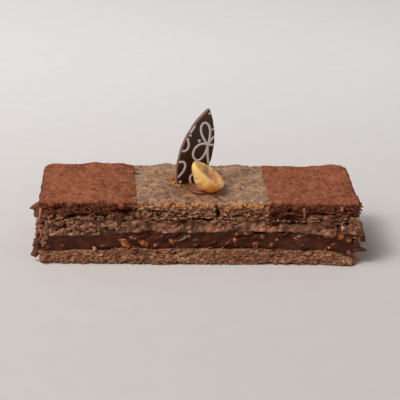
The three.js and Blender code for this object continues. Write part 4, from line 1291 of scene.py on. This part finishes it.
# Lumps on the front corners: x, y, z and radius
CORNER_LUMPS = np.array([
    (-58.7, -18.2, 12.8, 1.4), (-58.2, -18.4, 10.8, 1.5), (-58.6, -18.1, 8.6, 1.4),
    (-57.2, -18.5, 7.2, 1.0), (-59.8, -17.3, 14.9, 1.1), (-57.6, -18.5, 14.6, 1.3),
    (-55.6, -18.6, 13.4, 1.1), (-60.2, -16.9, 12.0, 1.1), (-60.2, -16.9, 9.8, 1.1),
    (-57.0, -18.6, 16.6, 1.2), (-60.4, -16.8, 17.0, 0.9), (-59.2, -17.9, 17.6, 1.0),
    (-54.4, -18.7, 15.0, 1.1), (-52.3, -18.7, 16.5, 1.2), (-49.2, -18.8, 17.2, 1.1),
    (-45.6, -18.8, 15.2, 0.9), (57.8, -18.9, 17.6, 0.9), (58.8, -18.7, 15.8, 1.0),
    (58.0, -18.8, 13.8, 0.9), (59.8, -18.1, 13.4, 0.9), (56.2, -18.9, 14.6, 0.8),
    (58.9, -18.3, 11.6, 0.8), (56.4, -19.0, 18.8, 0.9), (59.4, -18.5, 18.4, 0.8),
    (60.3, -17.9, 16.6, 0.8), (57.2, -19.0, 15.8, 0.7), (61.2, -17.5, 12.4, 0.9),
    (58.4, -18.9, 19.6, 0.7), (60.2, -17.9, 11.4, 0.8), (59.2, -18.5, 14.4, 0.7),
])


def torn_ends(finish, stained):
    """Lumps on the front corners, and the large torn flakes at the two ends and on the front: plates
    that hang from the cocoa's edge, plates over the left corner, the curtain and the spike at the right,
    and dark plates soaked with chocolate."""
    tones = rng.uniform(0.2, 0.65, len(CORNER_LUMPS))
    spots, sizes = CORNER_LUMPS[:, :3], CORNER_LUMPS[:, 3]
    crumbs("corner_lumps", spots, sizes, finish, "pastry", tones, stretch=0.4)
    flakes("end_flakes", listed(END_FLAKES), finish)
    flakes("stained_flakes", listed(STAINED_FLAKES), stained)


def wall_flakes(walls, finish):
    """Small torn flakes on the sides of both sheets: walls holds each with its count. They stand out from
    the wall, each turned by its own draws."""
    roots, normals = [], []
    for wall, count in walls:
        middle = ease(0.04, 0.15, wall.share) * ease(0.96, 0.8, wall.share)
        spots, out = sprout(wall, count, middle)
        roots.append(spots - 0.3 * out)
        normals.append(out)
    roots, normals = np.concatenate(roots), np.concatenate(normals)
    ways = normals * [1, 1, 0.3] + rng.normal(size=roots.shape) * [0.9, 0.9, 0.35]
    looks = rng.normal(size=roots.shape) * 0.7 + UPWARD
    dusted = (roots[:, 0] < BARE_FROM) | (roots[:, 0] > BARE_TO)
    dust = 0.8 * dusted * ease(DUST_LINE, DUST_LINE + 2.0, roots[:, 2])
    numbers = random_columns(len(roots), (0.6, 1.3), (0.3, 0.7), (-0.4, 0.3), (0.2, 0.7), (0.35, 0.8))
    flakes("wall_flakes", np.column_stack([roots, ways, looks, numbers, dust]), finish)


# The fine stack: how many flakes, how many of them in its left part, how that part is scaled and moved
STACK_FLAKES = 64
LEFT_STACK_FLAKES = 30
LEFT_STACK_SHARE = (1.0, 1.0, 0.55)
LEFT_STACK_SHIFT = (-5.8, 0.0, 8.8)


def fine_stack(finish):
    """The fine stack of level flakes under the right end: roots drawn in a box, some of them moved to a
    flatter box on the left."""
    roots = random_columns(STACK_FLAKES, (45.8, 48.0), (-19.5, -18.8), (16.6, 20.8))
    roots[:LEFT_STACK_FLAKES] *= LEFT_STACK_SHARE
    roots[:LEFT_STACK_FLAKES] += LEFT_STACK_SHIFT
    along = random_columns(STACK_FLAKES, (1.0, 1.0))  # every flake runs along X
    ways = np.column_stack([along, rng.normal(0, 0.06, (2, STACK_FLAKES)).T])
    looks = 0 * ways + UPWARD
    numbers = random_columns(STACK_FLAKES, (2.2, 3.8), (0.5, 0.9), (-0.3, 0.3), (0.1, 0.5), (0.25, 0.7))
    rows = np.column_stack([roots, ways, looks, numbers, np.zeros(STACK_FLAKES)])
    flakes("fine_stack", rows, finish)


# Single pastry crumbs that stand out: x, y, z, radius and tone
SHOWN_CRUMBS = np.array([
    (-39.6, -19.0, 6.4, 1.15, 1.2), (49.2, -19.2, 7.7, 0.8, 0.7), (47.8, -19.2, 6.9, 0.7, 0.6),
    (-12.5, -13.0, 25.9, 0.9, 0.6), (5.0, -19.8, 23.8, 0.6, 1.0),
])

# Lumps of chocolate at the ends: x, y, z, radius and tone
CHOCOLATE_LUMPS = np.array([
    (57.2, -18.2, 5.3, 1.4, 1.1), (-51.6, -18.6, 7.9, 0.8, 0.8), (47.5, -18.9, 12.6, 0.9, 0.7),
    (51.0, -19.0, 13.4, 1.1, 0.8), (-61.2, -17.0, 8.6, 1.3, 0.5), (-60.6, -17.2, 6.6, 1.2, 0.3),
    (-58.6, -18.2, 5.8, 1.0, 0.4), (59.4, -17.8, 9.6, 1.0, 0.4), (60.6, -17.2, 8.2, 1.0, 0.5),
    (59.6, -17.4, 8.2, 1.0, 0.4),
])

# Heaps of crumbs at the leaf's foot: x and y, how many crumbs in each, and how far they are strewn
LEAF_HEAPS = ((-10.6, 4.4), (-9.0, -0.6))
HEAP_CRUMBS = 34
HEAP_SPREAD = 1.05


def pastry_crumbs(praline, cream, top):
    """Pastry bits on the edges of the creams and on the upper sheet, drawn on the walls, and a few single
    ones."""
    left = 0.2 + ease(-24, -28, praline.x) * praline.front
    bottom = ease(0.12, 0.02, cream.share)
    lower = ease(0.6, 0.1, top.share)
    spots, sizes = [], []
    sources = ((praline, 70, 0.55, left), (cream, 60, 0.5, bottom), (top, 60, 0.45, lower))
    for wall, count, largest, choose in sources:
        found, _ = sprout(wall, count, choose)
        spots.append(found)
        sizes.append(largest * rng.uniform(0.4, 1.0, count))
    spots = np.concatenate([*spots, SHOWN_CRUMBS[:, :3]])
    sizes = np.concatenate([*sizes, SHOWN_CRUMBS[:, 3]])
    tones = rng.uniform(0, 1, len(sizes))
    tones[-len(SHOWN_CRUMBS):] = SHOWN_CRUMBS[:, 4]
    finish = crumb_finish("pastry_crumbs", colour(96, 58, 38), colour(198, 146, 100))
    crumbs("pastry_crumbs", spots, sizes, finish, "pastry", tones, stretch=0.45)


def leaf_crumbs():
    """Orange crumbs in two heaps at the leaf's foot, scattered on the bell curve and stacked a little."""
    heaps = np.repeat(LEAF_HEAPS, HEAP_CRUMBS, axis=0)
    plan = heaps + rng.normal(0, HEAP_SPREAD, heaps.shape)
    sizes = rng.uniform(0.25, 0.65, len(plan))
    height = crust_height(plan[:, 0], plan[:, 1]) + sizes * rng.uniform(0.3, 1.3, len(plan))
    tones = rng.uniform(0, 1, len(plan))
    finish = crumb_finish("leaf_crumbs", colour(136, 82, 42), colour(206, 144, 86))
    spots = np.column_stack([plan, height])
    crumbs("leaf_crumbs", spots, sizes, finish, "pastry", tones, stretch=0.4)


def chocolate_lumps(finish):
    """Lumps of chocolate smeared at the ends."""
    spots, sizes, tones = CHOCOLATE_LUMPS[:, :3], CHOCOLATE_LUMPS[:, 3], CHOCOLATE_LUMPS[:, 4]
    crumbs("chocolate_lumps", spots, sizes, finish, "soft_chocolate", tones, stretch=0.2, smooth=True)


# Stage

def board_finish():
    """A pale board with a painted light gradient: darker near the camera and lighter behind the slice."""
    made = Finish("pale_board", Roughness=0.8, Specular_IOR_Level=0.2)
    cloud = made.grain(9.0, 4.0)
    far = made.node("ShaderNodeSeparateXYZ", {}, {0: made.place}, "Y")
    # Painted shade near the camera and painted light far off
    near_painted_shade = made.mix(cloud, colour(206, 198, 193), colour(212, 204, 199))
    far_painted_light = made.mix(cloud, colour(243, 239, 237), colour(249, 246, 244))
    return made.wear(Base_Color=made.mix(made.between(-0.12, 0.3, far), near_painted_shade, far_painted_light))


def lay_board(finish):
    """The board under the slice, a plain square."""
    bpy.ops.mesh.primitive_plane_add(size=BOARD_SIZE)
    board = bpy.context.object
    board.name = "board"
    board.data.materials.append(finish.material)


def open_sky():
    """Even light from all sides."""
    world = bpy.data.worlds.new("studio")
    world.use_nodes = True
    sky = world.node_tree.nodes["Background"]
    sky.inputs["Color"].default_value = SKY_COLOUR
    sky.inputs["Strength"].default_value = SKY_STRENGTH
    bpy.context.scene.world = world


def hang_light(name, size, power):
    """A square soft light at the lights' place that looks at the slice."""
    light = bpy.data.lights.new(name, "AREA")
    light.size = size
    light.energy = power
    made = bpy.data.objects.new(name, light)
    bpy.context.scene.collection.objects.link(made)
    made.location = LIGHT_PLACE
    back = np.array(LIGHT_PLACE) - np.array(LIGHT_AIM)
    made.rotation_mode = "QUATERNION"
    made.rotation_quaternion = Vector(-back).to_track_quat("-Z", "Y")


def set_camera():
    """A camera that looks at its aim from an azimuth and a height, rolled round its own axis. Its matrix
    has its right, its up, its back and its place as columns."""
    camera = bpy.data.objects.new("camera", bpy.data.cameras.new("camera"))
    bpy.context.scene.collection.objects.link(camera)
    bpy.context.scene.camera = camera
    camera.data.lens = LENS
    camera.data.sensor_width = SENSOR
    level = np.array([np.cos(CAMERA_AZIMUTH), np.sin(CAMERA_AZIMUTH), 0.0])
    ahead = np.array([-np.sin(CAMERA_AZIMUTH), np.cos(CAMERA_AZIMUTH), 0.0])
    back = np.sin(CAMERA_HEIGHT) * np.array([0.0, 0.0, 1.0]) - np.cos(CAMERA_HEIGHT) * ahead
    upright = np.cross(back, level)
    right = level * np.cos(CAMERA_ROLL) - upright * np.sin(CAMERA_ROLL)
    up = level * np.sin(CAMERA_ROLL) + upright * np.cos(CAMERA_ROLL)
    eye = (CAMERA_AIM + CAMERA_AWAY * back) * MM
    rows = np.stack([right, up, back, eye], -1)
    camera.matrix_world = Matrix([*rows.tolist(), [0.0, 0.0, 0.0, 1.0]])


# Everything together

pastry = pastry_finish()
stained = crumb_finish("stained_pastry", colour(56, 25, 15), colour(128, 72, 50))
powder = cocoa_finish()
past_end = HALF_LENGTH + END_HANG
left_edge = BARE_FROM + POWDER_SHIFT
right_edge = BARE_TO + POWDER_SHIFT

base = base_sheet(pastry)
cream = dark_cream(cream_finish())
praline = praline_cream(praline_finish())
top = top_sheet(pastry)
bare_crust(crust_finish())
cocoa_skin("cocoa_skin_left", "cocoa_left", -past_end, BARE_FROM + 1.6, left_edge, LEFT_SLANT, powder)
cocoa_skin("cocoa_skin_right", "cocoa_right", BARE_TO - 0.5, past_end, right_edge, RIGHT_SLANT, powder)
nut_bits(cream, nut_bit_finish())
torn_ends(pastry, stained)
wall_flakes(((top, TOP_FLAKES), (base, BASE_FLAKES)), pastry)
fine_stack(pastry)
pastry_crumbs(praline, cream, top)
leaf_crumbs()
chocolate_lumps(stained)
chocolate_leaf(leaf_finish())
leaf_print(print_finish())
hazelnut(hazelnut_finish())
chocolate_dab(dab_finish())

lay_board(board_finish())
open_sky()
hang_light("key", size=1.1, power=17.0)
hang_light("glint", size=0.35, power=6.5)
set_camera()
bpy.context.scene.view_settings.view_transform = "Standard"
